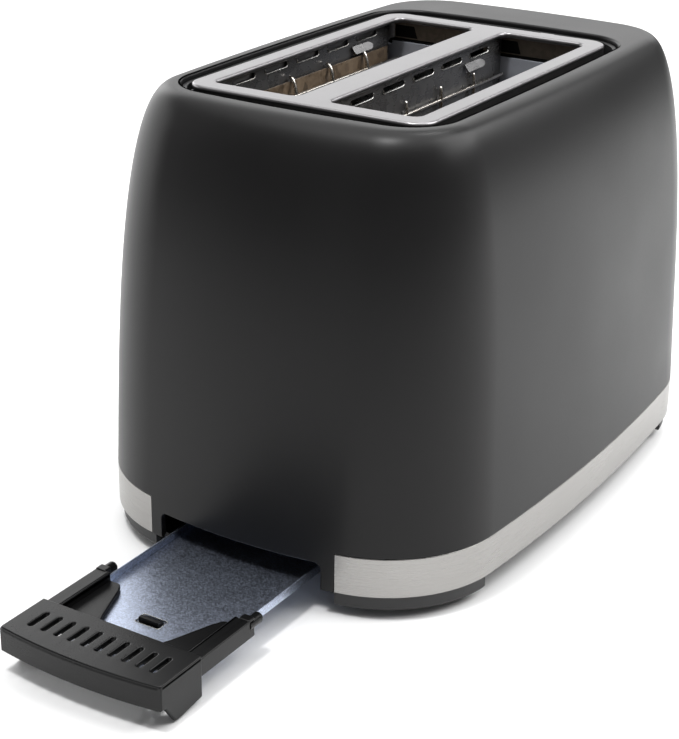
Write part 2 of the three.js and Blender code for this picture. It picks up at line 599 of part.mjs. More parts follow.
add("outer_shell", outerShell(), "shell");
add("top_trim_frame", trimFrame(), "satin");
add("recess_insert", recessInsert(), "plastic");
add("base_band", bandSector(0, BAND.thick, BAND.z0, BAND.z1, BAND.gap), "steel");
add("base_plate", basePlate(), "plastic");
const CORNERS = { tray_left: [-1, 1], tray_right: [-1, -1], control_left: [1, 1], control_right: [1, -1] };
for (const [name, [sx, sy]] of Object.entries(CORNERS)) add(`foot_${name}`, cornerFoot(sx, sy), "rubber");
SCREWS.forEach((place, i) => add(`base_screw_${i + 1}`, baseScrew(place), "steel"));
add("crumb_tray_pan", trayPan(), "zinc");
add("crumb_tray_handle", trayHandle(), "plastic");
add("chassis_plate_tray_end", trayChassisPlate(), "zinc");
add("chassis_plate_control_end", controlChassisPlate(), "zinc");
add("reflector_left", reflector(1), "zinc");
add("reflector_right", reflector(-1), "zinc");
add("centre_channel", centreChannel(), "zinc");
const WALLS = { left_outer: [50, 48.8, 47.2], left_inner: [2.3, 3.3, 6.2] }; // y of card, ribbon and guard
WALLS.right_inner = WALLS.left_inner.map((y) => -y);
WALLS.right_outer = WALLS.left_outer.map((y) => -y);
for (const [name, [card, ribbon, guard]] of Object.entries(WALLS)) {
  add(`heater_card_${name}`, heaterCard(card), "mica");
  add(`heating_ribbon_${name}`, heatingRibbon(ribbon), "ribbon");
  add(`bread_guard_${name}`, breadGuard(guard), "satin");
}
add("carriage_bracket", carriageBracket(), "zinc");
add("bread_rack_left", breadRack(SLOT_MIDDLE), "zinc");
add("bread_rack_right", breadRack(-SLOT_MIDDLE), "zinc");
add("armature_plate", armature(), "steel");
add("lever_knob", leverKnob(), "plastic");
add("guide_rod", rodZ(ROD.x, 0, ROD.z0, ROD.z1, ROD.radius, 16), "steel");
add("lift_spring", liftSpring(), "steel");
add("electromagnet_core", magnetCore(), "steel");
add("electromagnet_coil", magnetCoil(), "copper");
add("control_panel", controlPanel(), "plastic");
add("browning_knob", browningKnob(), "plastic");
add("browning_shaft", browningShaft(), "steel");
for (const [name, z] of Object.entries(BUTTON.z)) {
  add(`button_${name}`, pushButton(z), "plastic");
  add(`switch_${name}`, tactSwitch(z), "plastic");
}
add("circuit_board", circuitBoard(), "board");
add("browning_potentiometer", potentiometer(), "plastic");
add("contact_blade_left", contactBlade(15), "brass");
add("contact_blade_right", contactBlade(-20), "brass");
add("terminal_block", terminalBlock(), "ceramic");
add("cord_gland", cordGland(), "rubber");

const toaster = new THREE.Group();
toaster.add(body);
export default toaster;
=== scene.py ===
import json
import math

import bmesh
import bpy
import numpy as np
from mathutils import Matrix, Vector


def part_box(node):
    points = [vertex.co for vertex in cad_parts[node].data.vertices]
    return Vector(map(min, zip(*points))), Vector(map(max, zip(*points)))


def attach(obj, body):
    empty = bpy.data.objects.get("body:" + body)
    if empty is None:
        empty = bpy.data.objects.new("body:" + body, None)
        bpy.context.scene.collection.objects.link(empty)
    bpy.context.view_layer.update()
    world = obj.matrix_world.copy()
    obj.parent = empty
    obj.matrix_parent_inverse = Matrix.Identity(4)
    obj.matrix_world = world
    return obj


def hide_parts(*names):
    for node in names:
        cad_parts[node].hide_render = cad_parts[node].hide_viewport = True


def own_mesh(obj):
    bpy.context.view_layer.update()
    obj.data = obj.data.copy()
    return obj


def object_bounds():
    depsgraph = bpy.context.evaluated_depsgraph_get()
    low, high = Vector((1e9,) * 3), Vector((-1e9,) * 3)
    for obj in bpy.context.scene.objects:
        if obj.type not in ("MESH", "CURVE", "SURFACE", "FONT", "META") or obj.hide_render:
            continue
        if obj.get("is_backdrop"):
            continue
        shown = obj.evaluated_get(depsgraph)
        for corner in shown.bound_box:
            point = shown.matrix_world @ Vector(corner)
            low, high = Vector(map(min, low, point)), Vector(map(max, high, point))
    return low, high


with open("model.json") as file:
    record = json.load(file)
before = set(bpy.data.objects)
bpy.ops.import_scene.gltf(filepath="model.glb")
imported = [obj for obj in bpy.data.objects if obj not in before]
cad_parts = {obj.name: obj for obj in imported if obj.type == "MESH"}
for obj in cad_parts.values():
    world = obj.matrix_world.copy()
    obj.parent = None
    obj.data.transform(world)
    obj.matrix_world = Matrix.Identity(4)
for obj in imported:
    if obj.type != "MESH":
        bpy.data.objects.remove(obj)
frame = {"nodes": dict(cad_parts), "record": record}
cad_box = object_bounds()

# ---- driving dimensions: the body frame in millimetres, as in the CAD source ----
MM = 0.001
BASE = dict(a=134.94, b=90.29, side=926.5, end=231.1, corner=51.85)
LIP = dict(corner=20.05, side=2646.0, end=617.0)
BAND_Z0, BAND_Z1, BAND_THICK, BAND_GAP = 10.2, 26.8, 1.0, 43.5
SHELL_TOP, WALL, GAP = 184.9, 2.6, 0.3
TRAY_END = dict(lean=0.0562, rise=132.2, run=25.35, lip=37.24)
CONTROL_END = dict(lean=0.0562, rise=99.3, run=19.65, lip=54.11)
LONG_SIDE = dict(lean=0.0414, rise=116.6, run=20.95, lip=29.59)
SHOULDER_POWER = 2.58
BODY_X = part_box("outer_shell")[0].x / MM + BASE["a"]  # the body's middle in the row frame


# ---- mesh helpers ----
def to_world(points):
    """Body millimetres to row metres."""
    out = np.array(points, float).reshape(-1, 3).copy()
    out[:, 0] += BODY_X
    return out * MM


def linked(name, data):
    """A new object in the scene."""
    piece = bpy.data.objects.new(name, data)
    bpy.context.scene.collection.objects.link(piece)
    return piece


def discard(piece):
    """Deletes an object and its mesh."""
    mesh = piece.data
    bpy.data.objects.remove(piece)
    bpy.data.meshes.remove(mesh)


def edit(mesh, change):
    """Runs change on the mesh's bmesh."""
    work = bmesh.new()
    work.from_mesh(mesh)
    change(work)
    work.to_mesh(mesh)
    work.free()


def mesh_piece(name, points, faces, uv=None):
    """A mesh object from body-millimetre points, with its normals facing out."""
    mesh = bpy.data.meshes.new(name)
    mesh.from_pydata(to_world(points).tolist(), [], [list(f) for f in faces])
    if uv is not None:
        layer = mesh.uv_layers.new(name="run")
        loops = np.zeros(len(mesh.loops), np.int32)
        mesh.loops.foreach_get("vertex_index", loops)
        layer.data.foreach_set("uv", np.array(uv, np.float32)[loops].ravel())
    mesh.validate()
    edit(mesh, face_out)
    return linked(name, mesh)


def face_out(work):
    bmesh.ops.recalc_face_normals(work, faces=work.faces)


def smooth(piece, angle=32.0):
    """Smooth shading, with edges over the angle kept crisp."""
    def shade(work):
        for edge in work.edges:
            edge.smooth = len(edge.link_faces) == 2 and edge.calc_face_angle(0.0) < math.radians(angle)
        for face in work.faces:
            face.smooth = True

    edit(piece.data, shade)
    return piece


def applied(piece):
    """The piece with its modifiers applied."""
    graph = bpy.context.evaluated_depsgraph_get()
    mesh = bpy.data.meshes.new_from_object(piece.evaluated_get(graph))
    old = piece.data
    piece.modifiers.clear()
    if piece.type == "MESH":
        piece.data = mesh
        return piece
    name = piece.name
    bpy.data.objects.remove(piece)
    bpy.data.curves.remove(old)
    return linked(name, mesh)


def grid_faces(rows, columns, wrap_rows=False):
    """Quads between neighbouring rings of points. wrap_rows joins the last ring to the first."""
    faces = []
    for r in range(rows if wrap_rows else rows - 1):
        for c in range(columns):
            r2, c2 = (r + 1) % rows, (c + 1) % columns
            faces.append((r * columns + c, r * columns + c2, r2 * columns + c2, r2 * columns + c))
    return faces


def through(name, rows, uv=None):
    """A surface through open-ended rings of points, capped at both ends."""
    count = len(rows[0])
    last = (len(rows) - 1) * count
    caps = [tuple(range(count)), tuple(last + i for i in reversed(range(count)))]
    return mesh_piece(name, np.vstack(rows), grid_faces(len(rows), count) + caps, uv)


def arc(x, y, radius, start, stop, steps):
    """Points along an arc, with both its ends."""
    t = np.linspace(start, stop, steps + 1)
    return np.c_[x + radius * np.cos(t), y + radius * np.sin(t)]


def plan(a, b, side, end, corner, x=0.0, steps=(10, 22, 16)):
    """Closed plan of four quarters: an end arc, a corner arc and a side arc that meet smoothly."""
    side_centre = np.array([0.0, b - side])
    end_centre = np.array([a - end, 0.0])
    between = end_centre - side_centre
    apart = np.hypot(*between)
    along = ((side - corner) ** 2 - (end - corner) ** 2 + apart ** 2) / (2 * apart)
    off = math.sqrt(max((side - corner) ** 2 - along ** 2, 0.0))
    unit = between / apart
    centre = side_centre + unit * along + np.array([unit[1], -unit[0]]) * off
    end_angle = math.atan2(*(centre - end_centre)[::-1])
    side_angle = math.atan2(*(centre - side_centre)[::-1])
    quarter = np.vstack([
        arc(*end_centre, end, 0.0, end_angle, steps[0]),
        arc(*centre, corner, end_angle, side_angle, steps[1])[1:],
        arc(*side_centre, side, side_angle, math.pi / 2, steps[2])[1:],
    ])
    mirror = lambda sx, sy: quarter * [sx, sy]
    ring = np.vstack([quarter, mirror(-1, 1)[::-1][1:], mirror(-1, -1)[1:], mirror(1, -1)[::-1][1:-1]])
    return ring + [x, 0.0]


def inset(shape, by):
    return {key: value - by for key, value in shape.items()}


def lip_plan(by=0.0):
    """Plan of the recess in the top, drawn in by a distance."""
    tray, control = TRAY_END["lip"], CONTROL_END["lip"]
    shape = dict(a=BASE["a"] - (tray + control) / 2, b=BASE["b"] - LONG_SIDE["lip"], **LIP)
    return plan(**inset(shape, by), x=(tray - control) / 2)


def rounded_rect(u0, u1, v0, v1, radius, steps=8):
    left, right, low, high = u0 + radius, u1 - radius, v0 + radius, v1 - radius
    centres = ((right, high), (left, high), (left, low), (right, low))
    quarter = math.pi / 2
    return np.vstack([arc(*centre, radius, i * quarter, (i + 1) * quarter, steps)
                      for i, centre in enumerate(centres)])


def obround(x, y, length, width, steps=10):
    half, r = length / 2 - width / 2, width / 2
    return np.vstack([
        arc(x + half, y, r, -math.pi / 2, math.pi / 2, steps),
        arc(x - half, y, r, math.pi / 2, 1.5 * math.pi, steps),
    ])


AXES = {  # turns an outline's own plane so that it is extruded along an axis
    "Z": Matrix(((1, 0, 0), (0, 1, 0), (0, 0, 1))),
    "X": Matrix(((0, 0, 1), (1, 0, 0), (0, 1, 0))),
    "Y": Matrix(((1, 0, 0), (0, 0, -1), (0, 1, 0))),
}


def plate(name, outline, low, high, holes=(), bevel=0.3, rounds=3, axis="Z"):
    """A flat piece with rounded edges: an outline with holes, extruded from low to high along an axis."""
    curve = bpy.data.curves.new(name, "CURVE")
    curve.dimensions = "2D"
    curve.fill_mode = "BOTH"
    for loop in (outline, *holes):
        spline = curve.splines.new("POLY")
        spline.points.add(len(loop) - 1)
        spline.points.foreach_set("co", np.c_[loop, np.zeros(len(loop)), np.ones(len(loop))].ravel())
        spline.use_cyclic_u = True
    curve.bevel_depth = bevel
    curve.bevel_resolution = rounds
    curve.offset = -bevel
    curve.extrude = (high - low) / 2 - bevel
    piece = applied(linked(name, curve))
    turn = AXES[axis].to_4x4()
    middle = Matrix.Translation((0, 0, (low + high) / 2 if axis != "Y" else -(low + high) / 2))
    piece.data.transform(Matrix.Scale(MM, 4) @ Matrix.Translation((BODY_X, 0, 0)) @ turn @ middle)

    def weld(work):
        bmesh.ops.remove_doubles(work, verts=work.verts, dist=1e-6)
        face_out(work)

    edit(piece.data, weld)
    return smooth(piece, 24.0)


def joined(name, pieces):
    """One object that holds all the pieces' meshes."""
    work = bmesh.new()
    for piece in pieces:
        work.from_mesh(piece.data)
    mesh = bpy.data.meshes.new(name)
    work.to_mesh(mesh)
    work.free()
    for piece in pieces:
        discard(piece)
    return linked(name, mesh)


def cut_out(piece, cutter):
    """The piece less the cutter, which is deleted."""
    modifier = piece.modifiers.new("cut", "BOOLEAN")
    modifier.operation = "DIFFERENCE"
    modifier.solver = "EXACT"
    modifier.object = cutter
    applied(piece)
    discard(cutter)
    return piece


def prism(name, outline, x0, x1):
    """A plain outline (y, z) extruded along X, for cutting."""
    return through(name, [np.c_[np.full(len(outline), x), outline] for x in (x0, x1)])


def sweep(name, path, normals, profile, uv=False):
    """A section (out, up) swept along a level path. normals point out of the path, in the level plane."""
    section = np.array(profile)
    rows = [np.c_[point + normal * section[:, :1], section[:, 1]] for point, normal in zip(path, normals)]
    coordinates = None
    if uv:
        run = np.r_[0.0, np.cumsum(np.hypot(*np.diff(np.array(path), axis=0).T))]
        coordinates = np.vstack([np.c_[np.full(len(section), s), section[:, 1]] for s in run]) * MM
    return through(name, rows, coordinates)


def path_normals(path):
    """Unit normals to the right of an open path."""
    points = np.array(path)
    along = np.vstack([points[1:], points[-1:]]) - np.vstack([points[:1], points[:-1]])
    along /= np.hypot(*along.T)[:, None]
    return np.c_[along[:, 1], -along[:, 0]]


def wire(name, points, radius, sides=10, closed=False):
    """A round wire along body-millimetre points, closed at its ends."""
    curve = bpy.data.curves.new(name, "CURVE")
    curve.dimensions = "3D"
    spline = curve.splines.new("POLY")
    spline.points.add(len(points) - 1)
    spline.points.foreach_set("co", np.c_[to_world(points), np.ones(len(points))].ravel())
    spline.use_cyclic_u = closed
    curve.bevel_depth = radius * MM
    curve.bevel_resolution = max(sides // 2 - 2, 0)
    curve.use_fill_caps = not closed
    piece = applied(linked(name, curve))
    edit(piece.data, face_out)
    return smooth(piece, 50.0)


def fillet(corners, radius, steps=5):
    """An outline whose sharp corners are rounded. radius is one number, or one for each corner."""
    points = np.array(corners, float)
    radii = np.broadcast_to(radius, len(points))
    outline = []
    for i, point in enumerate(points):
        before, after = points[i - 1] - point, points[(i + 1) % len(points)] - point
        room = min(np.hypot(*before), np.hypot(*after)) / 2
        before, after = before / np.hypot(*before), after / np.hypot(*after)
        half = math.acos(np.clip(before @ after, -1, 1)) / 2
        reach = min(radii[i] / math.tan(half), room)
        if reach < 1e-3 or half > math.radians(88):
            outline.append(point)
            continue
        start, stop = point + before * reach, point + after * reach
        for t in np.linspace(0, 1, steps + 1):
            outline.append((1 - t) ** 2 * start + 2 * t * (1 - t) * point + t ** 2 * stop)
    return np.array(outline)


def revolve(name, profile, centre, axis="X", steps=64, ripple=None, ring=False):
    """A solid turned about a line through centre. profile is (along, radius), from axis to axis or, for a
    ring, once round its section. ripple(along, radius, angles) adds to the radius."""
    angles = np.linspace(0, 2 * math.pi, steps, endpoint=False)
    inner = profile if ring else profile[1:-1]
    rows = []
    for along, radius in inner:
        reach = np.full(steps, float(radius))
        if ripple is not None:
            reach = reach + ripple(along, radius, angles)
        rows.append(np.c_[np.full(steps, along), reach * np.cos(angles), reach * np.sin(angles)])
    points = np.vstack(rows)
    faces = grid_faces(len(rows), steps, wrap_rows=ring)
    if not ring:
        points = np.vstack([points, [[profile[0][0], 0, 0]], [[profile[-1][0], 0, 0]]])
        first = len(points) - 2
        start = (len(rows) - 1) * steps
        faces += [(first, (i + 1) % steps, i) for i in range(steps)]
        faces += [(first + 1, start + i, start + (i + 1) % steps) for i in range(steps)]
    order = {"X": (0, 1, 2), "Z": (1, 2, 0)}[axis]
    return smooth(mesh_piece(name, points[:, order] + np.array(centre, float), faces), 34.0)


def strip(name, path, width, thick, y):
    """A flat ribbon on edge: a path in the XZ plane, as wide as width in that plane and thick along Y."""
    corners = ((1, -1), (1, 1), (-1, 1), (-1, -1))
    rows = [[(x + side * nx * width / 2, y + depth * thick / 2, z + side * nz * width / 2)
             for side, depth in corners] for (x, z), (nx, nz) in zip(path, path_normals(path))]
    return smooth(through(name, rows), 40.0)


def block(name, x0, x1, y0, y1, z0, z1, bevel=0.4):
    """A small moulded bar with rounded edges."""
    corner = min(1.2 * bevel, (x1 - x0) / 3, (y1 - y0) / 3)
    return plate(name, rounded_rect(x0, x1, y0, y1, corner, 4), z0, z1, (), bevel)


# ---- material helpers ----
NOISE_LOW, NOISE_HIGH = 0.3, 0.7  # most of a noise's values lie between these
MIX_A, MIX_B, MIX_RESULT = 6, 7, 2  # the colour sockets of a Mix node


class Paint:
    """One procedural material. Coordinates are the object's own, in metres, or the "run" UV map."""

    def __init__(self, name, color, roughness, metallic=0.0, **constants):
        self.material = bpy.data.materials.new(name)
        self.material.use_nodes = True
        self.tree = self.material.node_tree
        self.shader = self.tree.nodes["Principled BSDF"]
        constants.update(base_color=(*color, 1.0), roughness=roughness, metallic=metallic)
        for key, value in constants.items():
            self.shader.inputs[key.replace("_", " ").title().replace("Ior", "IOR")].default_value = value

    def node(self, kind, inputs, **settings):
        """A node whose inputs are constants or other nodes' outputs."""
        made = self.tree.nodes.new(kind)
        for key, value in settings.items():
            setattr(made, key, value)
        for key, value in inputs.items():
            if isinstance(value, bpy.types.NodeSocket):
                self.tree.links.new(value, made.inputs[key])
            else:
                made.inputs[key].default_value = value
        return made

    def drive(self, socket, source):
        self.tree.links.new(source, self.shader.inputs[socket])

    def coordinates(self, stretch=(1, 1, 1), uv=False):
        source = self.node("ShaderNodeUVMap", {}, uv_map="run") if uv else self.node("ShaderNodeTexCoord", {})
        inputs = {"Scale": stretch, "Vector": source.outputs["UV" if uv else "Object"]}
        return self.node("ShaderNodeMapping", inputs).outputs["Vector"]

    def noise(self, size, detail=3.0, rough=0.55, stretch=(1, 1, 1), uv=False):
        """Noise whose features are about size millimetres."""
        inputs = {"Scale": 1.0 / (size * MM), "Detail": detail, "Roughness": rough,
                  "Vector": self.coordinates(stretch, uv)}
        return self.node("ShaderNodeTexNoise", inputs).outputs["Fac"]

    def cells(self, size, stretch=(1, 1, 1), output="Distance"):
        """Voronoi cells about size millimetres across."""
        inputs = {"Scale": 1.0 / (size * MM), "Vector": self.coordinates(stretch)}
        return self.node("ShaderNodeTexVoronoi", inputs).outputs[output]

    def remap(self, value, low, high, to_low, to_high):
        inputs = {"Value": value, "From Min": low, "From Max": high, "To Min": to_low, "To Max": to_high}
        return self.node("ShaderNodeMapRange", inputs).outputs["Result"]

    def swing(self, noise, low=0.0, high=1.0):
        """A noise spread over low to high."""
        return self.remap(noise, NOISE_LOW, NOISE_HIGH, low, high)

    def dots(self, size, radius):
        """1 in small round specks, size millimetres apart, and 0 between them."""
        return self.remap(self.cells(size), 0.0, radius, 1.0, 0.0)

    def math(self, operation, first, second):
        return self.node("ShaderNodeMath", {0: first, 1: second}, operation=operation).outputs["Value"]

    def weigh(self, first, share, second, rest):
        """The weighted sum of two values."""
        return self.math("ADD", self.math("MULTIPLY", first, share), self.math("MULTIPLY", second, rest))

    def mix(self, factor, first, second):
        colors = [(*value, 1.0) if isinstance(value, tuple) else value for value in (first, second)]
        inputs = {"Factor": factor, MIX_A: colors[0], MIX_B: colors[1]}
        return self.node("ShaderNodeMix", inputs, data_type="RGBA").outputs[MIX_RESULT]

    def color_by(self, factor, first, second):
        self.drive("Base Color", self.mix(factor, first, second))

    def roughness_by(self, factor, low, high):
        self.drive("Roughness", self.swing(factor, low, high))

    def roughness_around(self, roughness, cloud, by, fine):
        """A roughness that varies with a broad and a fine noise."""
        wander = self.math("ADD", self.swing(cloud, -by, by), self.swing(fine, -0.03, 0.03))
        self.drive("Roughness", self.math("ADD", wander, roughness))

    def bump(self, height, depth):
        """Bump whose full height is depth millimetres. Calls stack."""
        inputs = {"Strength": 1.0, "Distance": depth * MM, "Height": height}
        if self.shader.inputs["Normal"].is_linked:
            inputs["Normal"] = self.shader.inputs["Normal"].links[0].from_socket
        self.drive("Normal", self.node("ShaderNodeBump", inputs).outputs["Normal"])

    def edges(self, radius):
        """Rounds the look of crisp edges by radius millimetres. Called before any bump."""
        bevel = self.node("ShaderNodeBevel", {"Radius": radius * MM}, samples=6)
        self.drive("Normal", bevel.outputs["Normal"])


def tones(color, darker, lighter):
    """The colour times each of two factors."""
    return [tuple(channel * by for channel in color) for by in (darker, lighter)]


def moulded(name, color, roughness, grain=0.45, depth=0.02, **constants):
    """Moulded black plastic: fine spark-eroded grain and faint cloudiness."""
    paint = Paint(name, color, roughness, **constants)
    fine = paint.noise(grain, 4.0, 0.6)
    cloud = paint.noise(38.0, 3.0, 0.5)
    paint.color_by(paint.swing(cloud), *tones(color, 0.86, 1.16))
    paint.roughness_around(roughness, cloud, 0.04, fine)
    paint.bump(fine, depth)
    return paint.material


def sheet_metal(name, color, roughness, grain=0.2, metallic=1.0, specks=0.9, size=0.55, **constants):
    """Galvanised sheet: even, with a fine crystal grain, faint rolling lines and sparse bright specks."""
    paint = Paint(name, color, roughness, metallic, **constants)
    crystal = paint.cells(size, output="Color")
    cloud = paint.noise(28.0, 3.0, 0.5)
    lines = paint.noise(0.5, 3.0, 0.6, (0.04, 1.0, 1.0))
    tone = paint.remap(paint.weigh(crystal, 0.75, cloud, 0.25), 0.2, 0.8, 0.0, 1.0)
    even = paint.mix(tone, *tones(color, 1 - grain, 1 + grain))
    share = paint.remap(cloud, 0.42, 0.6, 0.1 * specks, specks)
    bright = paint.math("MULTIPLY", paint.dots(2.6, 0.085), share)
    paint.color_by(bright, even, tones(color, 1.0, 1.8)[1])
    paint.roughness_by(paint.weigh(crystal, 0.5, lines, 0.5), roughness - 0.04, roughness + 0.06)
    paint.bump(lines, 0.0025)
    return paint.material


def wire_metal(name, color, roughness, tint=(0.45, 0.28, 0.12), share=0.5):
    """Smooth drawn or rolled metal with patches of another tint."""
    paint = Paint(name, color, roughness, 1.0)
    patches = paint.noise(16.0, 3.0, 0.6)
    paint.color_by(paint.remap(patches, 0.48, 0.7, 0.0, share), color, tint)
    paint.roughness_by(paint.noise(1.1), roughness - 0.06, roughness + 0.08)
    paint.bump(paint.noise(0.4), 0.006)
    return paint.material


def brushed(name, color, roughness, uv, stretch, **constants):
    """Metal brushed along one direction."""
    paint = Paint(name, color, roughness, 1.0, **constants)
    fine = paint.noise(0.16, 2.0, 0.6, stretch, uv)
    broad = paint.noise(0.9, 3.0, 0.6, stretch, uv)
    blotch = paint.noise(30.0, 3.0, 0.5)
    both = paint.weigh(fine, 0.6, broad, 0.4)
    paint.color_by(paint.swing(both), *tones(color, 0.93, 1.06))
    paint.roughness_by(paint.weigh(both, 0.7, blotch, 0.3), roughness - 0.05, roughness + 0.07)
    paint.bump(both, 0.002)
    return paint.material


def shell_paint():
    """Soft matte charcoal lacquer over a smooth moulding."""
    color, roughness = (0.007, 0.0068, 0.007), 0.37
    paint = Paint("shell_lacquer", color, roughness, ior=1.325)
    paint.edges(0.7)
    fine = paint.noise(0.32, 3.0, 0.6)
    orange_peel = paint.noise(2.6, 2.0, 0.5)
    cloud = paint.noise(60.0, 3.0, 0.5)
    clean = paint.mix(paint.swing(cloud), *tones(color, 0.93, 1.08))
    dust = paint.math("MULTIPLY", paint.dots(9.0, 0.022), paint.remap(cloud, 0.5, 0.62, 0.0, 0.5))
    paint.color_by(dust, clean, (0.3, 0.3, 0.3))
    paint.roughness_around(roughness, cloud, 0.03, fine)
    paint.bump(orange_peel, 0.006)
    paint.bump(fine, 0.006)
    return paint.material


def mica_paint():
    """Pressed mica: brown flakes in layers, lighter where they overlap, with a waxy gloss."""
    paint = Paint("mica_board", (0.2, 0.14, 0.085), 0.42)
    flakes = paint.cells(3.2, output="Color", stretch=(1.0, 1.0, 0.75))
    small = paint.cells(0.9, output="Color")
    blotch = paint.noise(14.0, 4.0, 0.6)
    layered = paint.weigh(flakes, 0.5, small, 0.3)
    factor = paint.math("ADD", layered, paint.math("MULTIPLY", blotch, 0.35))
    paint.color_by(paint.remap(factor, 0.3, 0.9, 0.0, 1.0), (0.06, 0.04, 0.024), (0.2, 0.145, 0.095))
    paint.roughness_by(small, 0.28, 0.55)
    paint.bump(flakes, 0.02)
    return paint.material


def ribbon_paint():
    """Resistance ribbon with patches of heat tint."""
    paint = Paint("resistance_ribbon", (0.34, 0.3, 0.27), 0.36, 1.0)
    tint = paint.noise(7.0, 3.0, 0.6)
    paint.color_by(paint.remap(tint, 0.35, 0.65, 0.0, 1.0), (0.2, 0.17, 0.17), (0.42, 0.33, 0.24))
    paint.roughness_by(paint.noise(0.8), 0.26, 0.48)
    paint.bump(paint.noise(0.5, stretch=(0.1, 1.0, 1.0)), 0.01)
    return paint.material


def winding_paint():
    """Enamelled copper wire, side by side, with painted shade in the grooves between turns and a painted
    highlight on each turn's crown.
    """
    paint = Paint("enamelled_copper", (0.36, 0.11, 0.045), 0.28, 1.0, coat_weight=0.5)
    inputs = {"Scale": 1.0 / (1.6 * MM), "Distortion": 0.4, "Detail": 1.0, "Vector": paint.coordinates()}
    wave = paint.node("ShaderNodeTexWave", inputs, wave_type="BANDS", bands_direction="X")
    turn_shading = wave.outputs["Fac"]
    # Colour dark in the grooves and light on the crowns: painted shade and painted highlight on the turns.
    paint.color_by(turn_shading, (0.14, 0.035, 0.015), (0.45, 0.15, 0.06))
    paint.bump(turn_shading, 0.12)
    paint.roughness_by(paint.noise(2.0), 0.22, 0.36)
    return paint.material


def board_paint():
    """Phenolic board with paper fibre and a faint solder-mask mottling."""
    paint = Paint("phenolic_board", (0.26, 0.16, 0.065), 0.5)
    fibre = paint.noise(1.2, 4.0, 0.65, (1.0, 0.25, 1.0))
    blotch = paint.noise(12.0, 3.0, 0.5)
    tone = paint.weigh(fibre, 0.6, blotch, 0.4)
    paint.color_by(paint.remap(tone, 0.35, 0.65, 0.0, 1.0), (0.2, 0.12, 0.045), (0.33, 0.21, 0.09))
    paint.roughness_by(fibre, 0.42, 0.6)
    paint.bump(fibre, 0.02)
    return paint.material


def ceramic_paint():
    """Cream ceramic with brown specks."""
    color = (0.62, 0.6, 0.53)
    paint = Paint("steatite", color, 0.38, coat_weight=0.2)
    paint.color_by(paint.math("MULTIPLY", paint.dots(2.4, 0.1), 0.5), color, (0.35, 0.32, 0.27))
    paint.roughness_by(paint.noise(3.0), 0.3, 0.46)
    paint.bump(paint.noise(0.7), 0.015)
    return paint.material


def mark_paint():
    """Pale grey pad print, a little worn."""
    paint = Paint("dial_print", (0.6, 0.6, 0.6), 0.5)
    wear = paint.noise(0.7, 3.0, 0.6)
    paint.color_by(paint.remap(wear, 0.45, 0.75, 0.0, 0.6), (0.62, 0.62, 0.61), (0.2, 0.2, 0.2))
    paint.roughness_by(wear, 0.42, 0.6)
    return paint.material


MATERIALS = {
    "mark_paint": mark_paint(),
    "shell_black": shell_paint(),
    "plastic_black": moulded("black_moulding", (0.006, 0.006, 0.0062), 0.4, 0.5, 0.02, ior=1.33),
    "handle_black": moulded("grained_moulding", (0.004, 0.004, 0.0042), 0.3, 0.5, 0.03, ior=1.34),
    "panel_black": moulded("panel_moulding", (0.015, 0.015, 0.016), 0.3, 0.4, 0.01, coat_weight=0.3),
    "button_black": moulded("button_moulding", (0.022, 0.022, 0.023), 0.32, 0.4, 0.01, coat_weight=0.2),
    "switch_plastic": moulded("switch_moulding", (0.03, 0.03, 0.032), 0.5, 0.5, 0.02),
    "foot_rubber": moulded("foot_rubber", (0.015, 0.015, 0.0155), 0.5, 0.4, 0.03),
    "end_sheet": sheet_metal("galvanised_end", (0.46, 0.48, 0.54), 0.34, 0.05, 0.4, 0.0, 4.0),
    # Brown-grey colour: painted reflection of the warm mica in a bright galvanised plate.
    "mica_reflection_steel": sheet_metal("mica_reflection_steel", (0.2, 0.165, 0.13), 0.34, 0.15, 0.3, 0.5, 2.0),
    "trim_satin": brushed("satin_nickel", (0.272, 0.266, 0.272), 0.33, False, (0.2, 1.0, 1.0)),
    "band_steel": brushed("brushed_steel", (0.33, 0.322, 0.311), 0.28, True, (0.012, 1.0, 1.0),
                          anisotropic=0.5),
    "bright_steel": wire_metal("zinc_plated_steel", (0.62, 0.62, 0.6), 0.24, (0.6, 0.56, 0.4), 0.3),
    "black_oxide": wire_metal("black_oxide", (0.035, 0.035, 0.038), 0.38, (0.09, 0.085, 0.08), 0.6),
    "spring_steel": wire_metal("spring_wire", (0.42, 0.42, 0.43), 0.3, (0.3, 0.26, 0.2), 0.4),
    "guard_wire": wire_metal("guard_wire", (0.8, 0.77, 0.72), 0.22, share=0.25),
    "galvanised_steel": sheet_metal("galvanised_pan", (0.54, 0.6, 0.74), 0.33),
    # Darker than the galvanised end plate: painted reflection of the brown mica.
    "chassis_steel": sheet_metal("galvanised_chassis_mica_reflection", (0.23, 0.228, 0.23), 0.28, 0.05, 0.8, 0.0, 4.0),
    "brass_blade": wire_metal("rolled_brass", (0.62, 0.43, 0.16), 0.26, (0.35, 0.2, 0.08), 0.4),
    "mica": mica_paint(),
    "heating_ribbon": ribbon_paint(),
    "copper_winding": winding_paint(),
    "board": board_paint(),
    "ceramic": ceramic_paint(),
}


def finish_piece(piece, slot, *replaced, body="toaster_body", flats=True):
    """Gives a piece its material and body, and hides the CAD nodes it replaces. flats keeps large faces flat
    beside rounded edges.
    """
    if flats:
        normals = piece.modifiers.new("normals", "WEIGHTED_NORMAL")
        normals.keep_sharp = True
        normals.weight = 100
    piece.data.materials.clear()
    piece.data.materials.append(MATERIALS[slot])
    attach(piece, body)
    if replaced:
        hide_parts(*replaced)
    return piece


# ---- outer shell ----
LIP_EDGE, LEVEL_CROWDING = 1.1, 2.2


def lean_in(face, z, top):
    """How far a face stands in from the base plan: its lean, and its shoulder below the flat top."""
    q = min(max((z - (top - face["rise"])) / face["rise"], 0.0), 1.0)
    shoulder = face["run"] * (1 - max(1 - q ** SHOULDER_POWER, 0.0) ** (1 / SHOULDER_POWER))
    return face["lean"] * max(z - BAND_Z1, 0.0) + shoulder


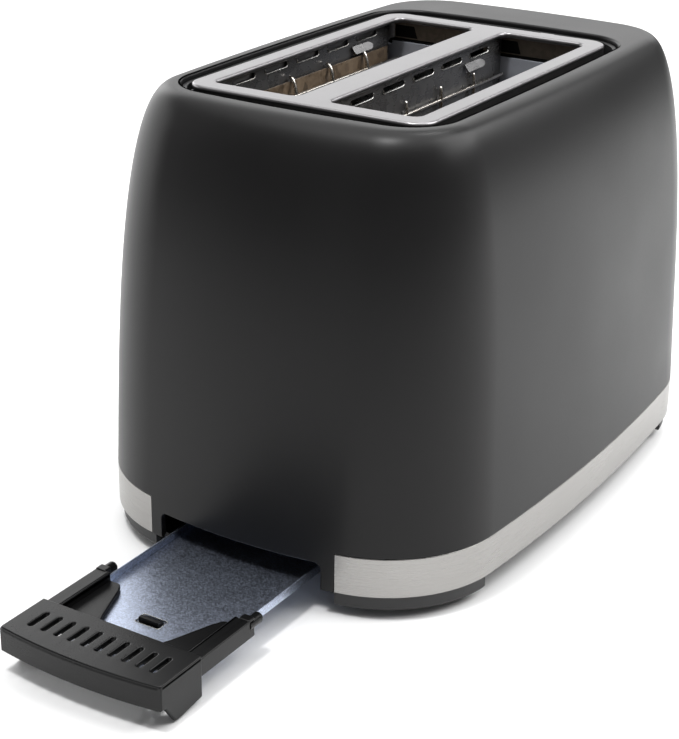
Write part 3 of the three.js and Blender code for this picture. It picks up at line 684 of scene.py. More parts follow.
def shell_ring(z, top, by, inward=0.0):
    """The shell's plan at a height. inward, from 0 to 1, draws it over the flat top to the recess lip."""
    draw = lambda face: lean_in(face, z, top) + inward * (face["lip"] - lean_in(face, z, top))
    tray, control, sides = draw(TRAY_END) + by, draw(CONTROL_END) + by, draw(LONG_SIDE)
    share = sides / LONG_SIDE["lip"]
    blend = lambda low, high: 1 / ((1 - share) / low + share / high)
    return plan(
        BASE["a"] - (tray + control) / 2, BASE["b"] - sides - by,
        blend(BASE["side"], LIP["side"]), blend(BASE["end"], LIP["end"]),
        BASE["corner"] + (LIP["corner"] - BASE["corner"]) * share, (tray - control) / 2)


def rising(top, steps):
    """Heights from the band up to top, closer together near the top."""
    return [BAND_Z1 + (top - BAND_Z1) * (1 - (1 - k / steps) ** LEVEL_CROWDING) for k in range(steps + 1)]


def outer_shell():
    """One continuous surface: up the outside, over the rolled lip of the recess and down the inside."""
    levels = [BAND_Z0, BAND_Z0 + 8] + rising(SHELL_TOP, 60)
    rings = [(shell_ring(z, SHELL_TOP, 0.0), z) for z in levels]
    rings += [(shell_ring(SHELL_TOP, SHELL_TOP, 0.0, t), SHELL_TOP) for t in (0.25, 0.5, 0.75, 0.9)]
    for angle in np.radians([0, 18, 36, 54, 72, 90]):
        drop = LIP_EDGE * (1 - math.cos(angle))
        rings.append((lip_plan(-LIP_EDGE * (1 - math.sin(angle))), SHELL_TOP - drop))
    under = SHELL_TOP - WALL
    rings.append((lip_plan(0.0), under))
    rings += [(shell_ring(under, under, WALL, t), under) for t in (0.66, 0.33)]
    inner = rising(under, 30)[::-1] + [BAND_Z0]
    rings += [(shell_ring(z, under, WALL), z) for z in inner]
    points = np.vstack([np.c_[ring, np.full(len(ring), z)] for ring, z in rings])
    shell = mesh_piece("shell_smooth", points, grid_faces(len(rings), len(rings[0][0]), wrap_rows=True))
    return smooth(cut_out(shell, shell_cutters()), 28.0)


DOOR_HALF, DOOR_TOP, DOOR_CORNER = 37.85, 21.6, 3
CONTROL_WALL_X = (110, 145)  # a cutter this long goes through the control end's wall
LEVER_Z, TRAVEL = 152.0, 76.0
LEVER_SLOT_HALF, LEVER_SLOT_SPARE = 2.7, 5
BUTTON_Y, BUTTON_Z, BUTTON_R, BUTTON_GAP = 27.0, (80.0, 100.0, 120.0), 6.0, 0.4
PANEL_HALF, PANEL_Z0, PANEL_Z1, PANEL_CORNER = 24.0, 28.3, 62.3, 6
CORD_Y, CORD_Z, CORD_HOLE = 48.0, 36.0, 6.4


def disc(y, z, radius):
    return arc(y, z, radius, 0, 2 * math.pi, 40)[:-1]


def band_path(by=0.0, gap=BAND_GAP):
    """The base plan from one side of the tray gap round to the other."""
    ring = plan(**inset(BASE, by), steps=(40, 40, 24))
    half = BASE["end"] - by
    edge = np.array([[BASE["end"] - BASE["a"] - math.sqrt(half ** 2 - gap ** 2), s * gap] for s in (-1, 1)])
    start = int(np.argmin(ring[:, 0]))
    ring = np.roll(ring, -start, 0)
    kept = ring[(ring[:, 0] > 0) | (np.abs(ring[:, 1]) > gap + 0.5)]
    return np.vstack([edge[:1], kept, edge[1:]])


def shell_cutters():
    """The groove behind the band, and the openings in the two ends."""
    path = band_path(0.0, BAND_GAP - GAP)
    depth = BAND_THICK + GAP
    groove = sweep("groove", path, path_normals(path),
                   [(2, BAND_Z0 - 3), (2, BAND_Z1 + GAP), (-depth, BAND_Z1 + GAP), (-depth, BAND_Z0 - 3)])
    door = rounded_rect(-DOOR_HALF, DOOR_HALF, -10, DOOR_TOP, DOOR_CORNER)
    lever = rounded_rect(-LEVER_SLOT_HALF, LEVER_SLOT_HALF, LEVER_Z - TRAVEL - LEVER_SLOT_SPARE,
                         LEVER_Z + LEVER_SLOT_SPARE, LEVER_SLOT_HALF - 0.1)
    panel = rounded_rect(-PANEL_HALF - GAP, PANEL_HALF + GAP, PANEL_Z0 - GAP, PANEL_Z1 + GAP, PANEL_CORNER)
    cutters = [
        groove,
        prism("door", door, -BASE["a"] - 8, -BASE["a"] + 20),
        prism("lever", lever, *CONTROL_WALL_X),
        prism("panel", panel, 120, 145),
        prism("gland", disc(CORD_Y, CORD_Z, CORD_HOLE), 100, 150),
    ]
    cutters += [prism("button", disc(BUTTON_Y, z, BUTTON_R + BUTTON_GAP), *CONTROL_WALL_X) for z in BUTTON_Z]
    return joined("cutters", cutters)


def base_band():
    """Brushed strip with rolled edges, a little proud of the shell above it."""
    r, t = 0.4, BAND_THICK
    corner = lambda u, v, start: arc(u, v, r, math.radians(start), math.radians(start + 90), 4).tolist()
    section = (corner(-r, BAND_Z1 - r, 0) + corner(-t + r, BAND_Z1 - r, 90)
               + corner(-t + r, BAND_Z0 + r, 180) + corner(-r, BAND_Z0 + r, 270))
    path = band_path()
    return smooth(sweep("base_band_strip", path, path_normals(path), section, uv=True), 40.0)


finish_piece(outer_shell(), "shell_black", "outer_shell")
finish_piece(base_band(), "band_steel", "base_band")

# ---- top ----
TRIM_X, TRIM_A, TRIM_B, TRIM_TOP, TRIM_CORNER = -10.04, 79.72, 54.0, 185.0, 9.0
TRIM_SHEET, TRIM_HEM, TRIM_DEPTH = 1.2, 2.4, 10.7
SLOT_A, SLOT_Y0, SLOT_Y1, SLOT_CORNER = 70.85, 7.12, 45.95, 3.5
INSERT_FLOOR, INSERT_SHEET, INSERT_RIM, INSERT_OPEN, INSERT_GAP = 172.0, 2.0, 183.0, 53.1, 0.4
CHAMBER_X0, CHAMBER_X1 = -85.0, 64.0
SHADE_WALL_HALF, SHADE_WALL_SHEET = 51.5, 1.1


def trim_outline(by=0.0):
    return rounded_rect(TRIM_X - TRIM_A + by, TRIM_X + TRIM_A - by, -TRIM_B + by, TRIM_B - by,
                        TRIM_CORNER - by, 16)


def slot_plan(side):
    low, high = sorted((side * SLOT_Y0, side * SLOT_Y1))
    return rounded_rect(TRIM_X - SLOT_A, TRIM_X + SLOT_A, low, high, SLOT_CORNER)


def trim_frame():
    """Pressed satin frame: a flat top with rolled edges, a flange round it and one bent fixing tab."""
    top = plate("top", trim_outline(), TRIM_TOP - TRIM_HEM, TRIM_TOP, [slot_plan(1), slot_plan(-1)], 1.15, 6)
    flange = plate("flange", trim_outline(0.25), TRIM_TOP - TRIM_DEPTH, TRIM_TOP - 1.0,
                   [trim_outline(TRIM_SHEET)], 0.3)
    far = TRIM_X + TRIM_A
    profile = fillet([(far - 2, 183.4), (far + 2.2, 183.4), (far + 3.6, 182.0), (far + 3.6, 179.5),
                      (far + 4.4, 179.5), (far + 4.4, 182.4), (far + 2.6, 184.3), (far - 2, 184.3)], 0.6, 3)
    tab = plate("tab", profile, -26.0, -19.6, (), 0.15, 2, "Y")
    return joined("top_trim", [top, flange, tab])


def recess_insert():
    """Black surround: a floor that is open over the chamber, its rim, and a black wall behind each chamber
    end that stands for the shade there.
    """
    floor_top = INSERT_FLOOR + INSERT_SHEET
    opening = rounded_rect(CHAMBER_X0 - 1.4, CHAMBER_X1 + 1.4, -INSERT_OPEN, INSERT_OPEN, 1.0)
    outside = lip_plan(INSERT_GAP)
    floor = plate("floor", outside, INSERT_FLOOR, floor_top, [opening], 0.3)
    rim = plate("rim", outside, INSERT_FLOOR + 0.2, INSERT_RIM, [lip_plan(INSERT_GAP + 2.0)], 0.5)
    # Black sheets behind the chamber ends: painted shade where the end shield's cut-outs open onto the dark
    # inside.
    walls = []
    for x in (CHAMBER_X1 + 2.2, CHAMBER_X0 - 3.2):
        outline = rounded_rect(x, x + SHADE_WALL_SHEET, -SHADE_WALL_HALF, SHADE_WALL_HALF, 0.5, 3)
        walls.append(plate("wall", outline, floor_top - 0.5, TRIM_TOP - 2.6, (), 0.2))
    return joined("recess_surround", [floor, rim, *walls])


finish_piece(trim_frame(), "trim_satin", "top_trim_frame")
finish_piece(recess_insert(), "plastic_black", "recess_insert")

# ---- toasting chamber ----
HOLE_X, HOLE_PITCH, HOLE_COUNT, HOLE_Z, HOLE_LENGTH, HOLE_WIDTH = -52.6, 23.9, 5, 179.2, 17.0, 2.4
REFLECTOR_Y, REFLECTOR_SHEET, REFLECTOR_Z0, REFLECTOR_TOP = 51.6, 0.7, 24.0, 183.4
CHANNEL_HALF, CHANNEL_SHEET, CHANNEL_Z0 = 4.7, 0.8, 149.0
RIBBON_Z, RIBBON_PITCH, RIBBON_RUNS, RIBBON_MARGIN = 42.0, 6.0, 21, 9.0
GUARD_X, GUARD_PITCH, GUARD_COUNT = -77.8, 28.6, 5
GUARD_Z0, GUARD_MIDDLE, GUARD_Z1, GUARD_WIRE = 30.0, 100.0, 166.0, 0.8
GUARD_CURLS = {"outer": (3.2, 7.6), "inner": (0.5, 5.2)}  # each curl's reach and rise
RIBBON_WIDTH, RIBBON_THICK = 1.5, 0.3
TONGUE_X, TONGUE_Z0, TONGUE_Z1, TONGUE_LEAN = (29.5, 43.0, 46.5), 172.6, 176.6, 36
SHIELD_HALF, SHIELD_Z0, SHIELD_Z1, SHIELD_CUT_Z0, SHIELD_CUT_Z1 = 50.8, 174.4, 182.5, 174.9, 180.4
SHIELD_CUTS = (((38.5, 40.5), (50.4, 50.4)), ((-2.0, -2.0), (-13.5, -11.5)))  # y of each side, foot and top
WALLS = {  # the y of each wall's ribbon and guard, and the way its heater card lies
    "left_outer": (48.8, 47.2, 1), "left_inner": (3.3, 6.2, -1),
    "right_inner": (-3.3, -6.2, 1), "right_outer": (-48.8, -47.2, -1),
}


def air_holes():
    """Outlines of the vent slits near the top of each wall."""
    return [obround(HOLE_X + i * HOLE_PITCH, HOLE_Z, HOLE_LENGTH, HOLE_WIDTH) for i in range(HOLE_COUNT)]


def tongue(y, side):
    """A stamped louvre that leans into the slot near its control end."""
    root, bend, tip = TONGUE_X
    outline = fillet([(root, TONGUE_Z0), (bend, TONGUE_Z0), (tip, (TONGUE_Z0 + TONGUE_Z1) / 2),
                      (bend, TONGUE_Z1), (root, TONGUE_Z1)], 1.2, 4)
    piece = plate("tongue", outline, -0.35, 0.35, (), 0.15, 2, "Y")
    fold = TONGUE_Z1 * MM
    lean = Matrix.Rotation(math.radians(-TONGUE_LEAN * side), 4, "X")
    piece.data.transform(Matrix.Translation((0, y * MM, fold)) @ lean @ Matrix.Translation((0, 0, -fold)))
    return piece


def vent_edge_highlights(name, y):
    """The turned lower edge of each vent slit, in steel brighter than its wall: a real lip with a painted
    highlight along it.
    """
    half, low = HOLE_LENGTH / 2, HOLE_Z - HOLE_WIDTH / 2
    rise = [(half - 0.25, HOLE_Z + 0.5), (half - 0.1, HOLE_Z - 0.5), (half - 0.8, low + 0.1),
            (half - 1.8, low - 0.15)]
    path = [(-out, z) for out, z in rise] + rise[::-1]
    edges = [wire("edge", [(HOLE_X + i * HOLE_PITCH + out, y, z) for out, z in path], 0.36, 8)
             for i in range(HOLE_COUNT)]
    return joined("vent_edge_highlights_" + name, edges)


def reflector(side):
    """Side wall of a slot: bright sheet with vent slits near its top, a louvre and a turned-in foot."""
    x0, x1 = CHAMBER_X0 + 2, CHAMBER_X1 - 2
    low, high = sorted((side * REFLECTOR_Y, side * (REFLECTOR_Y + REFLECTOR_SHEET)))
    wall = rounded_rect(x0, x1, REFLECTOR_Z0, REFLECTOR_TOP, 1.0, 3)
    sheet = plate("sheet", wall, low, high, air_holes(), 0.12, 2, "Y")
    foot_y = sorted((side * 46, side * (REFLECTOR_Y + 0.4)))
    foot = plate("foot", rounded_rect(x0, x1, *foot_y, 0.8, 3), REFLECTOR_Z0,
                 REFLECTOR_Z0 + REFLECTOR_SHEET, (), 0.12, 2)
    return joined("slot_reflector_" + ("left" if side > 0 else "right"),
                  [sheet, foot, tongue(side * (REFLECTOR_Y - 0.3), side)])


def centre_channel():
    """Folded channel between the two slots, with the same slits in both sides."""
    x0, x1 = CHAMBER_X0 + GAP, CHAMBER_X1 - GAP
    sides = []
    for side in (1, -1):
        low, high = sorted((side * (CHANNEL_HALF - CHANNEL_SHEET), side * CHANNEL_HALF))
        outline = rounded_rect(x0, x1, CHANNEL_Z0, REFLECTOR_TOP - 0.1, 0.6, 3)
        sides.append(plate("side", outline, low, high, air_holes(), 0.12, 2, "Y"))
        sides.append(tongue(side * (CHANNEL_HALF + 0.3), -side))
    lid = plate("lid", rounded_rect(x0, x1, -CHANNEL_HALF, CHANNEL_HALF, 0.6, 3),
                REFLECTOR_TOP - CHANNEL_SHEET, REFLECTOR_TOP, (), 0.25, 3)
    return joined("slot_divider", sides + [lid])


def heating_ribbon(name, y):
    """One thin ribbon that runs to and fro across the card, with round turns at its edges."""
    x0, x1 = CHAMBER_X0 + RIBBON_MARGIN, CHAMBER_X1 - RIBBON_MARGIN
    turn = RIBBON_PITCH / 2
    path = []
    for i in range(RIBBON_RUNS):
        z = RIBBON_Z + i * RIBBON_PITCH
        start, stop = (x0 + turn, x1 - turn) if i % 2 == 0 else (x1 - turn, x0 + turn)
        path += [(start, z), (stop, z)]
        if i < RIBBON_RUNS - 1:
            way = 1 if i % 2 == 0 else -1
            for angle in np.linspace(-math.pi / 2, math.pi / 2, 9)[1:-1]:
                path.append((stop + way * turn * math.cos(angle), z + turn + turn * math.sin(angle)))
    return strip("ribbon_" + name, path, RIBBON_WIDTH, RIBBON_THICK, y)


def bread_guard(name, y, way):
    """Round wires on three cross bars. Each wire's top curls over the top bar towards the heater card."""
    x0, x1 = CHAMBER_X0 + 1, CHAMBER_X1 - 1
    bars = [wire("bar", [(x0, y, z), (x1, y, z)], GUARD_WIRE) for z in (GUARD_Z0, GUARD_MIDDLE, GUARD_Z1)]
    reach, rise = GUARD_CURLS["outer" if "outer" in name else "inner"]
    curl = [(0, GUARD_Z0), (0, 120), (0, GUARD_Z1)]
    curl += [(reach * (1 - math.cos(t)), GUARD_Z1 + rise * math.sin(t)) for t in np.linspace(0.15, 1.6, 12)]
    wires = [wire("rung", [(GUARD_X + i * GUARD_PITCH, y + way * out, z) for out, z in curl], GUARD_WIRE, 12)
             for i in range(GUARD_COUNT)]
    return joined("guard_wires_" + name, bars + wires)


def end_shield():
    """Plate above the far chassis plate, brown-grey with a painted reflection of the mica, with a cut-out
    over a part of each slot.
    """
    cuts = []
    for (low_a, high_a), (low_b, high_b) in SHIELD_CUTS:
        below = SHIELD_CUT_Z0 - 1.4
        corners = [(low_a, below), (high_a, SHIELD_CUT_Z1), (high_b, SHIELD_CUT_Z1), (low_b, below)]
        cut = fillet(corners, 0.5, 3)
        cut[:, 1] = np.maximum(cut[:, 1], SHIELD_CUT_Z0)
        cuts.append(cut)
    outline = rounded_rect(-SHIELD_HALF, SHIELD_HALF, SHIELD_Z0, SHIELD_Z1, 0.5, 3)
    return plate("chamber_end_shield", outline, CHAMBER_X1 + 1.9, CHAMBER_X1 + 2.3, cuts, 0.1, 2, "X")


finish_piece(end_shield(), "mica_reflection_steel")
for side, node in ((1, "reflector_left"), (-1, "reflector_right")):
    finish_piece(reflector(side), "chassis_steel", node)
finish_piece(centre_channel(), "chassis_steel", "centre_channel")
# Bright steel lips on the vent slits: painted highlight on the chassis sheet's turned edges.
for name, y in (("left", REFLECTOR_Y - 0.1), ("middle_left", CHANNEL_HALF + 0.1),
                ("middle_right", -CHANNEL_HALF - 0.1), ("right", 0.1 - REFLECTOR_Y)):
    finish_piece(vent_edge_highlights(name, y), "bright_steel", flats=False)
for name, (ribbon_y, guard_y, way) in WALLS.items():
    finish_piece(heating_ribbon(name, ribbon_y), "heating_ribbon", "heating_ribbon_" + name,
                 flats=False)
    finish_piece(bread_guard(name, guard_y, way), "guard_wire", "bread_guard_" + name, body=name + "_guard",
                 flats=False)

# ---- lift spring ----
ROD_X, SPRING_Z0, SPRING_Z1, SPRING_RADIUS, SPRING_WIRE, SPRING_TURNS = 80.0, 15.2, 107.7, 4.0, 0.55, 13


def lift_spring():
    """Compression spring with its end turns closed up."""
    steps = 22 * SPRING_TURNS
    low, high = SPRING_Z0 + SPRING_WIRE, SPRING_Z1 - SPRING_WIRE
    points = []
    for i in range(steps + 1):
        t = i / steps
        rise = np.interp(t * SPRING_TURNS, [0, 1, SPRING_TURNS - 1, SPRING_TURNS], [0, 0.012, 0.988, 1])
        angle = 2 * math.pi * SPRING_TURNS * t
        points.append((ROD_X + SPRING_RADIUS * math.cos(angle), SPRING_RADIUS * math.sin(angle),
                       low + (high - low) * rise))
    return wire("lift_coil", points, SPRING_WIRE, 8)


spring = finish_piece(lift_spring(), "spring_steel", "lift_spring", flats=False)
tuple(to_world([(ROD_X, 0, SPRING_Z0)])[0])
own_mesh(spring)

# ---- crumb tray ----
HANDLE_FRONT, HANDLE_DEPTH, HANDLE_HALF, HANDLE_TOP, HANDLE_BOTTOM = -231.5, 26.5, 36.0, 18.9, 0.6
HANDLE_FACE, HANDLE_WALL, HANDLE_BOW = 10.3, 2.2, 2.8
HANDLE_BACK = HANDLE_FRONT + HANDLE_DEPTH
PAN_X0, PAN_LENGTH, PAN_HALF, PAN_Z, PAN_SHEET, PAN_RIM = -205.5, 166.0, 31.5, 11.0, 0.8, 4.0
CLIP_X0, CLIP_X1, CLIP_HALF = HANDLE_BACK + 14.5, HANDLE_BACK + 20.5, 5.4
CLIP_TAB, CLIP_Z0, CLIP_TIP = 4.6, 10.1, 13.4
GRIP_SLOTS, GRIP_PITCH, GRIP_LENGTH, GRIP_WIDTH, GRIP_X = 10, 6.13, 10.6, 2.2, HANDLE_FRONT + 14.2
ARM_TOP, ARM_END, PEG_END, PEG_RADIUS, PEG_Z = 17.5, HANDLE_BACK + 33, HANDLE_BACK + 38, 2.2, 15


def handle_bow(by=0.0):
    """The bowed front of the handle, from its -Y side to its +Y side."""
    radius = (HANDLE_HALF ** 2 + HANDLE_BOW ** 2) / (2 * HANDLE_BOW)
    swing = math.asin(HANDLE_HALF / radius)
    return arc(HANDLE_FRONT + radius, 0, radius - by, math.pi + swing, math.pi - swing, 24)


def handle_grip():
    """Top with its row of slots, the bowed face below it and a leg at each side."""
    bow = handle_bow()
    corners = np.vstack([bow, [[HANDLE_BACK, HANDLE_HALF], [HANDLE_BACK, -HANDLE_HALF]]])
    radii = [1.4 if i in (0, len(bow) - 1) else 0.7 if i >= len(bow) else 0.0 for i in range(len(corners))]
    slots = [obround(GRIP_X, (i - (GRIP_SLOTS - 1) / 2) * GRIP_PITCH, GRIP_LENGTH, GRIP_WIDTH, 8)
             for i in range(GRIP_SLOTS)]
    top = plate("top", fillet(corners, radii), HANDLE_TOP - HANDLE_WALL, HANDLE_TOP, slots, 0.55, 4)
    low = HANDLE_TOP - HANDLE_FACE
    inner = handle_bow(HANDLE_WALL)[1:-1]
    face = plate("face", np.vstack([bow, inner[::-1]]), low, HANDLE_TOP - 0.25, (), 0.5, 4)
    x, top_z = HANDLE_FRONT, HANDLE_TOP - 0.1
    leg = fillet([(x + 2.9, top_z), (x + 2.9, low), (x + 5.5, low), (x + 11, HANDLE_BOTTOM),
                  (x + 14, HANDLE_BOTTOM), (HANDLE_BACK, HANDLE_BOTTOM + 1.6), (HANDLE_BACK, top_z)],
                 [0.6, 0.6, 1.2, 1.4, 1.4, 1.0, 0.6])
    legs = [plate("leg", leg, *sorted((s * (HANDLE_HALF - HANDLE_WALL), s * HANDLE_HALF)), (), 0.7, 4, "Y")
            for s in (1, -1)]
    return [top, face, *legs]


def handle_arm(side):
    """Gusset on the pan floor, the step over the pan's rim, and the outer arm with its round peg."""
    floor = PAN_Z + PAN_SHEET + GAP
    start, end = HANDLE_BACK - 1.5, HANDLE_BACK + 30
    outline = fillet([(start, 13.2), (start, 30.3), (end, 30.3), (end, 24.2), (end - 4.5, 21.6),
                      (HANDLE_BACK + 9, 15.6), (HANDLE_BACK + 4, 13.2)], [0.3, 0.3, 0.6, 2.6, 3.6, 4.0, 3.0])
    gusset = plate("gusset", outline * [1, side], floor, floor + 1.9, (), 0.4)
    ys = lambda near, out: sorted((side * near, side * out))
    riser = block("riser", start, end, *ys(28.9, 30.3), floor, ARM_TOP, 0.35)
    cap = block("cap", start, end, *ys(28.9, 33.4), PAN_Z + PAN_RIM + GAP, ARM_TOP, 0.5)
    arm = block("arm", start, ARM_END, *ys(32.2, 35.6), PAN_Z - 1, ARM_TOP, 0.55)
    pad = block("pad", end - 1, ARM_END, *ys(30.8, 35.6), PAN_Z + PAN_RIM + GAP, ARM_TOP + 0.4, 0.6)
    peg = revolve("peg", [(end, 0), (end, PEG_RADIUS), (PEG_END - 0.8, PEG_RADIUS), (PEG_END - 0.2, 1.9),
                          (PEG_END, 1.3), (PEG_END, 0)], (0, side * 33.8, PEG_Z), steps=28)
    return [gusset, riser, cap, arm, pad, peg]


def handle_clip():
    """Bridge and rib under the top's back edge, and a strap below the pan whose hook snaps up through it."""
    bridge = block("bridge", HANDLE_BACK - 3, HANDLE_BACK + 0.2, -30, 30, PAN_Z + PAN_SHEET + GAP,
                   HANDLE_TOP - 1, 0.4)
    inner = HANDLE_HALF - HANDLE_WALL + 0.3
    rib = block("rib", HANDLE_BACK - 3, PAN_X0 - GAP, -inner, inner, 8.4, HANDLE_TOP - 1.1, 0.2)
    x0, x1 = CLIP_X0 + 1.2, CLIP_X1 - 1.2
    strap = block("strap", HANDLE_BACK - 3, x1, -CLIP_TAB, CLIP_TAB, CLIP_Z0, PAN_Z - GAP, 0.15)
    hook = fillet([(x0, CLIP_Z0), (x1, CLIP_Z0), (x1, CLIP_TIP - 1.1), (x1 - 1, CLIP_TIP - 0.9),
                   (x1 - 1.8, CLIP_TIP), (x0, CLIP_TIP)], 0.35, 3)
    return [bridge, rib, strap, plate("hook", hook, -CLIP_TAB, CLIP_TAB, (), 0.3, 3, "Y")]


def tray_pan():
    """Folded pan, open at the handle: a floor with the clip's hole, and walls with a rolled rim."""
    x1 = PAN_X0 + PAN_LENGTH
    hole = rounded_rect(CLIP_X0, CLIP_X1, -CLIP_HALF, CLIP_HALF, 0.8, 4)
    floor = plate("floor", rounded_rect(PAN_X0, x1 - 0.3, -PAN_HALF + 0.3, PAN_HALF - 0.3, 1.6),
                  PAN_Z, PAN_Z + PAN_SHEET, [hole], 0.2)
    corner = 2.5
    path = np.vstack([
        [[PAN_X0, -PAN_HALF]], arc(x1 - corner, -PAN_HALF + corner, corner, -math.pi / 2, 0, 8),
        arc(x1 - corner, PAN_HALF - corner, corner, 0, math.pi / 2, 8), [[PAN_X0, PAN_HALF]]])
    roll = arc(-0.45, PAN_Z + PAN_RIM - 0.45, 0.45, math.radians(-60), math.radians(240), 10)
    section = np.vstack([[(-0.75, PAN_Z + 0.3), (-0.45, PAN_Z), (-0.1, PAN_Z + 0.5)], roll])
    walls = smooth(sweep("walls", path, path_normals(path), section), 40.0)
    return joined("tray_pan", [floor, walls])


finish_piece(joined("tray_handle", handle_grip() + handle_arm(1) + handle_arm(-1) + handle_clip()),
             "handle_black", "crumb_tray_handle", body="crumb_tray")
finish_piece(tray_pan(), "galvanised_steel", "crumb_tray_pan", body="crumb_tray")
# Bright steel lines along the pan's rolled rims: painted highlight, brighter than the galvanised pan.
rim_highlight_line = [(PAN_X0 + 34, PAN_HALF - 0.45), (PAN_X0 + PAN_LENGTH - 3, PAN_HALF - 0.45)]
for name, side in (("left", 1), ("right", -1)):
    line = [(x, side * y, PAN_Z + PAN_RIM - 0.3) for x, y in rim_highlight_line]
    finish_piece(wire("pan_rim_highlight_" + name, line, 0.28, 8), "bright_steel", body="crumb_tray")
hole_edge = rounded_rect(CLIP_X0 - 0.1, CLIP_X1 + 0.1, -CLIP_HALF - 0.1, CLIP_HALF + 0.1, 0.8, 4)
finish_piece(wire("clip_hole_edge", [(x, y, PAN_Z + PAN_SHEET) for x, y in hole_edge], 0.16, 8, True),
             "bright_steel", body="crumb_tray")

# ---- feet ----
FOOT_Z0, SOLE_Z1, LIP_Z0, FOOT_Z1 = 3.3, 7.3, 5.6, 9.9
FOOT_X, FOOT_Y, FOOT_OUT, FOOT_IN, LIP_IN = 86.0, 42.6, 1.6, 24.0, 4.2
PAD_X, PAD_Y, PAD_RADIUS = 106.0, 58.0, 8.0


def corner_outline(outer, inner):
    """The part of the base's rim band beyond FOOT_X and FOOT_Y, between two insets."""
    edges = []
    for by in (outer, inner):
        ring = plan(**inset(BASE, by), steps=(24, 30, 30))
        ring = ring[(ring[:, 0] > 0) & (ring[:, 1] > 0)]
        ring = ring[np.argsort(np.arctan2(ring[:, 1], ring[:, 0]))]
        start = [np.interp(FOOT_Y, ring[:, 1], ring[:, 0]), FOOT_Y]
        stop = [FOOT_X, np.interp(-FOOT_X, -ring[:, 0], ring[:, 1])]
        inside = ring[(ring[:, 0] > FOOT_X + 0.5) & (ring[:, 1] > FOOT_Y + 0.5)]
        edges.append(np.vstack([[start], inside, [stop]]))
    return np.vstack([edges[0], edges[1][::-1]])


def corner_foot(name, sx, sy):
    """Rounded shoe under one corner of the base, with a round pad that stands on the worktop."""
    turn = lambda outline: (outline * [sx, sy])[::sx * sy]
    sole = plate("sole", turn(corner_outline(FOOT_OUT, FOOT_IN)), FOOT_Z0, SOLE_Z1, (), 1.95, 7)
    lip = plate("lip", turn(corner_outline(FOOT_OUT, LIP_IN)), LIP_Z0, FOOT_Z1, (), 0.25)
    profile = [(FOOT_Z0 + 1, 0), (FOOT_Z0 + 1, PAD_RADIUS), (0.9, PAD_RADIUS), (0.3, PAD_RADIUS - 0.4),
               (0, PAD_RADIUS - 1.1), (0, 0)]
    pad = revolve("pad", profile, (sx * PAD_X, sy * PAD_Y, 0), "Z", 48)
    return joined("shoe_" + name, [sole, lip, pad])


for name, sx, sy in (("tray_left", -1, 1), ("tray_right", -1, -1),
                     ("control_left", 1, 1), ("control_right", 1, -1)):
    finish_piece(corner_foot(name, sx, sy), "foot_rubber", "foot_" + name)

# ---- control end ----
DIAL_Z, DIAL_FACE, DIAL_RADIUS, DIAL_FLUTES, DIAL_TICKS = 45.3, 133.2, 12.5, 11, 10
BUTTON_OUT, STEM_X = 3.2, 99.2
LEVER_FACE, LEVER_TIP, LEVER_HALF = 133.3, 153.0, 17.0


def browning_knob():
    """Fluted knob on a dished skirt, with a raised pointer."""
    x = DIAL_FACE + 1
    grip = DIAL_RADIUS - 1
    flutes = lambda along, radius, angles: np.where(
        (along > x + 3.5) & (along < x + 12.6) & (radius > grip - 1.2),
        -0.55 * np.abs(np.sin(DIAL_FLUTES * angles)) ** 3, 0.0)
    profile = [(x, 0), (x, 13.2), (x + 0.5, 13.9), (x + 1.2, 14.0), (x + 2.2, 13.7), (x + 2.9, 12.9),
               (x + 3.3, grip + 0.3), (x + 4.2, grip), (x + 8, grip - 0.25), (x + 12, grip - 0.5),
               (x + 12.9, grip - 0.8), (x + 13.6, grip - 1.6), (x + 13.9, grip - 2.8), (x + 13.7, grip - 4),
               (x + 13.3, grip - 6), (x + 13.2, 0)]
    cap = revolve("cap", profile, (0, 0, DIAL_Z), steps=264, ripple=flutes)
    ridge = fillet([(DIAL_Z + 2, x + 10), (DIAL_Z + 2, x + 14.2), (DIAL_Z + grip - 1.5, x + 14.6),
                    (DIAL_Z + grip - 0.4, x + 12.6), (DIAL_Z + grip - 0.4, x + 10)], 0.6, 3)
    pointer = plate("pointer", ridge[:, ::-1], -1.1, 1.1, (), 0.45, 3, "Y")
    return joined("knob_fluted", [cap, pointer])


def pointer_line():
    """Printed line along the pointer."""
    return block("pointer_line", DIAL_FACE + 15.0, DIAL_FACE + 15.72, -0.42, 0.42, DIAL_Z + 3,
                 DIAL_Z + 9.4, 0.1)


def dial_marks():
    """Raised ticks round the dial, each a little longer than the one before."""
    marks = []
    for i in range(DIAL_TICKS):
        angle = math.radians(225 - i * 30)
        start, stop, half = 14.9, 15.8 + 0.08 * i, 0.38
        along = np.array([math.cos(angle), math.sin(angle)])
        over = np.array([-math.sin(angle), math.cos(angle)])
        ends = ((start, -half), (stop, -half), (stop, half), (start, half))
        corners = np.array([along * reach + over * aside for reach, aside in ends])
        outline = fillet(corners * [-1, 1] + [0, DIAL_Z], 0.2, 3)
        marks.append(plate("mark", outline, DIAL_FACE - 0.05, DIAL_FACE + 0.15, (), 0.04, 1, "X"))
    return joined("dial_marks", marks)


def push_button(name, z):
    """Round cap with a soft dish and a turned edge, on its stem."""
    face = BASE["a"] - TRAY_END["lean"] * (z - BAND_Z1) - BUTTON_Y ** 2 / (2 * BASE["end"])
    tip, r = face + BUTTON_OUT, BUTTON_R
    profile = [(STEM_X, 0), (STEM_X, 2), (face - 7, 2), (face - 7, r - 0.2), (face - 6.6, r),
               (tip - 1.1, r), (tip - 0.45, r - 0.2), (tip - 0.1, r - 0.6), (tip, r - 1.15),
               (tip - 0.1, r - 1.8), (tip - 0.45, r - 3.2), (tip - 0.6, 1.2), (tip - 0.62, 0)]
    return revolve("cap_" + name, profile, (0, BUTTON_Y, z), steps=72)


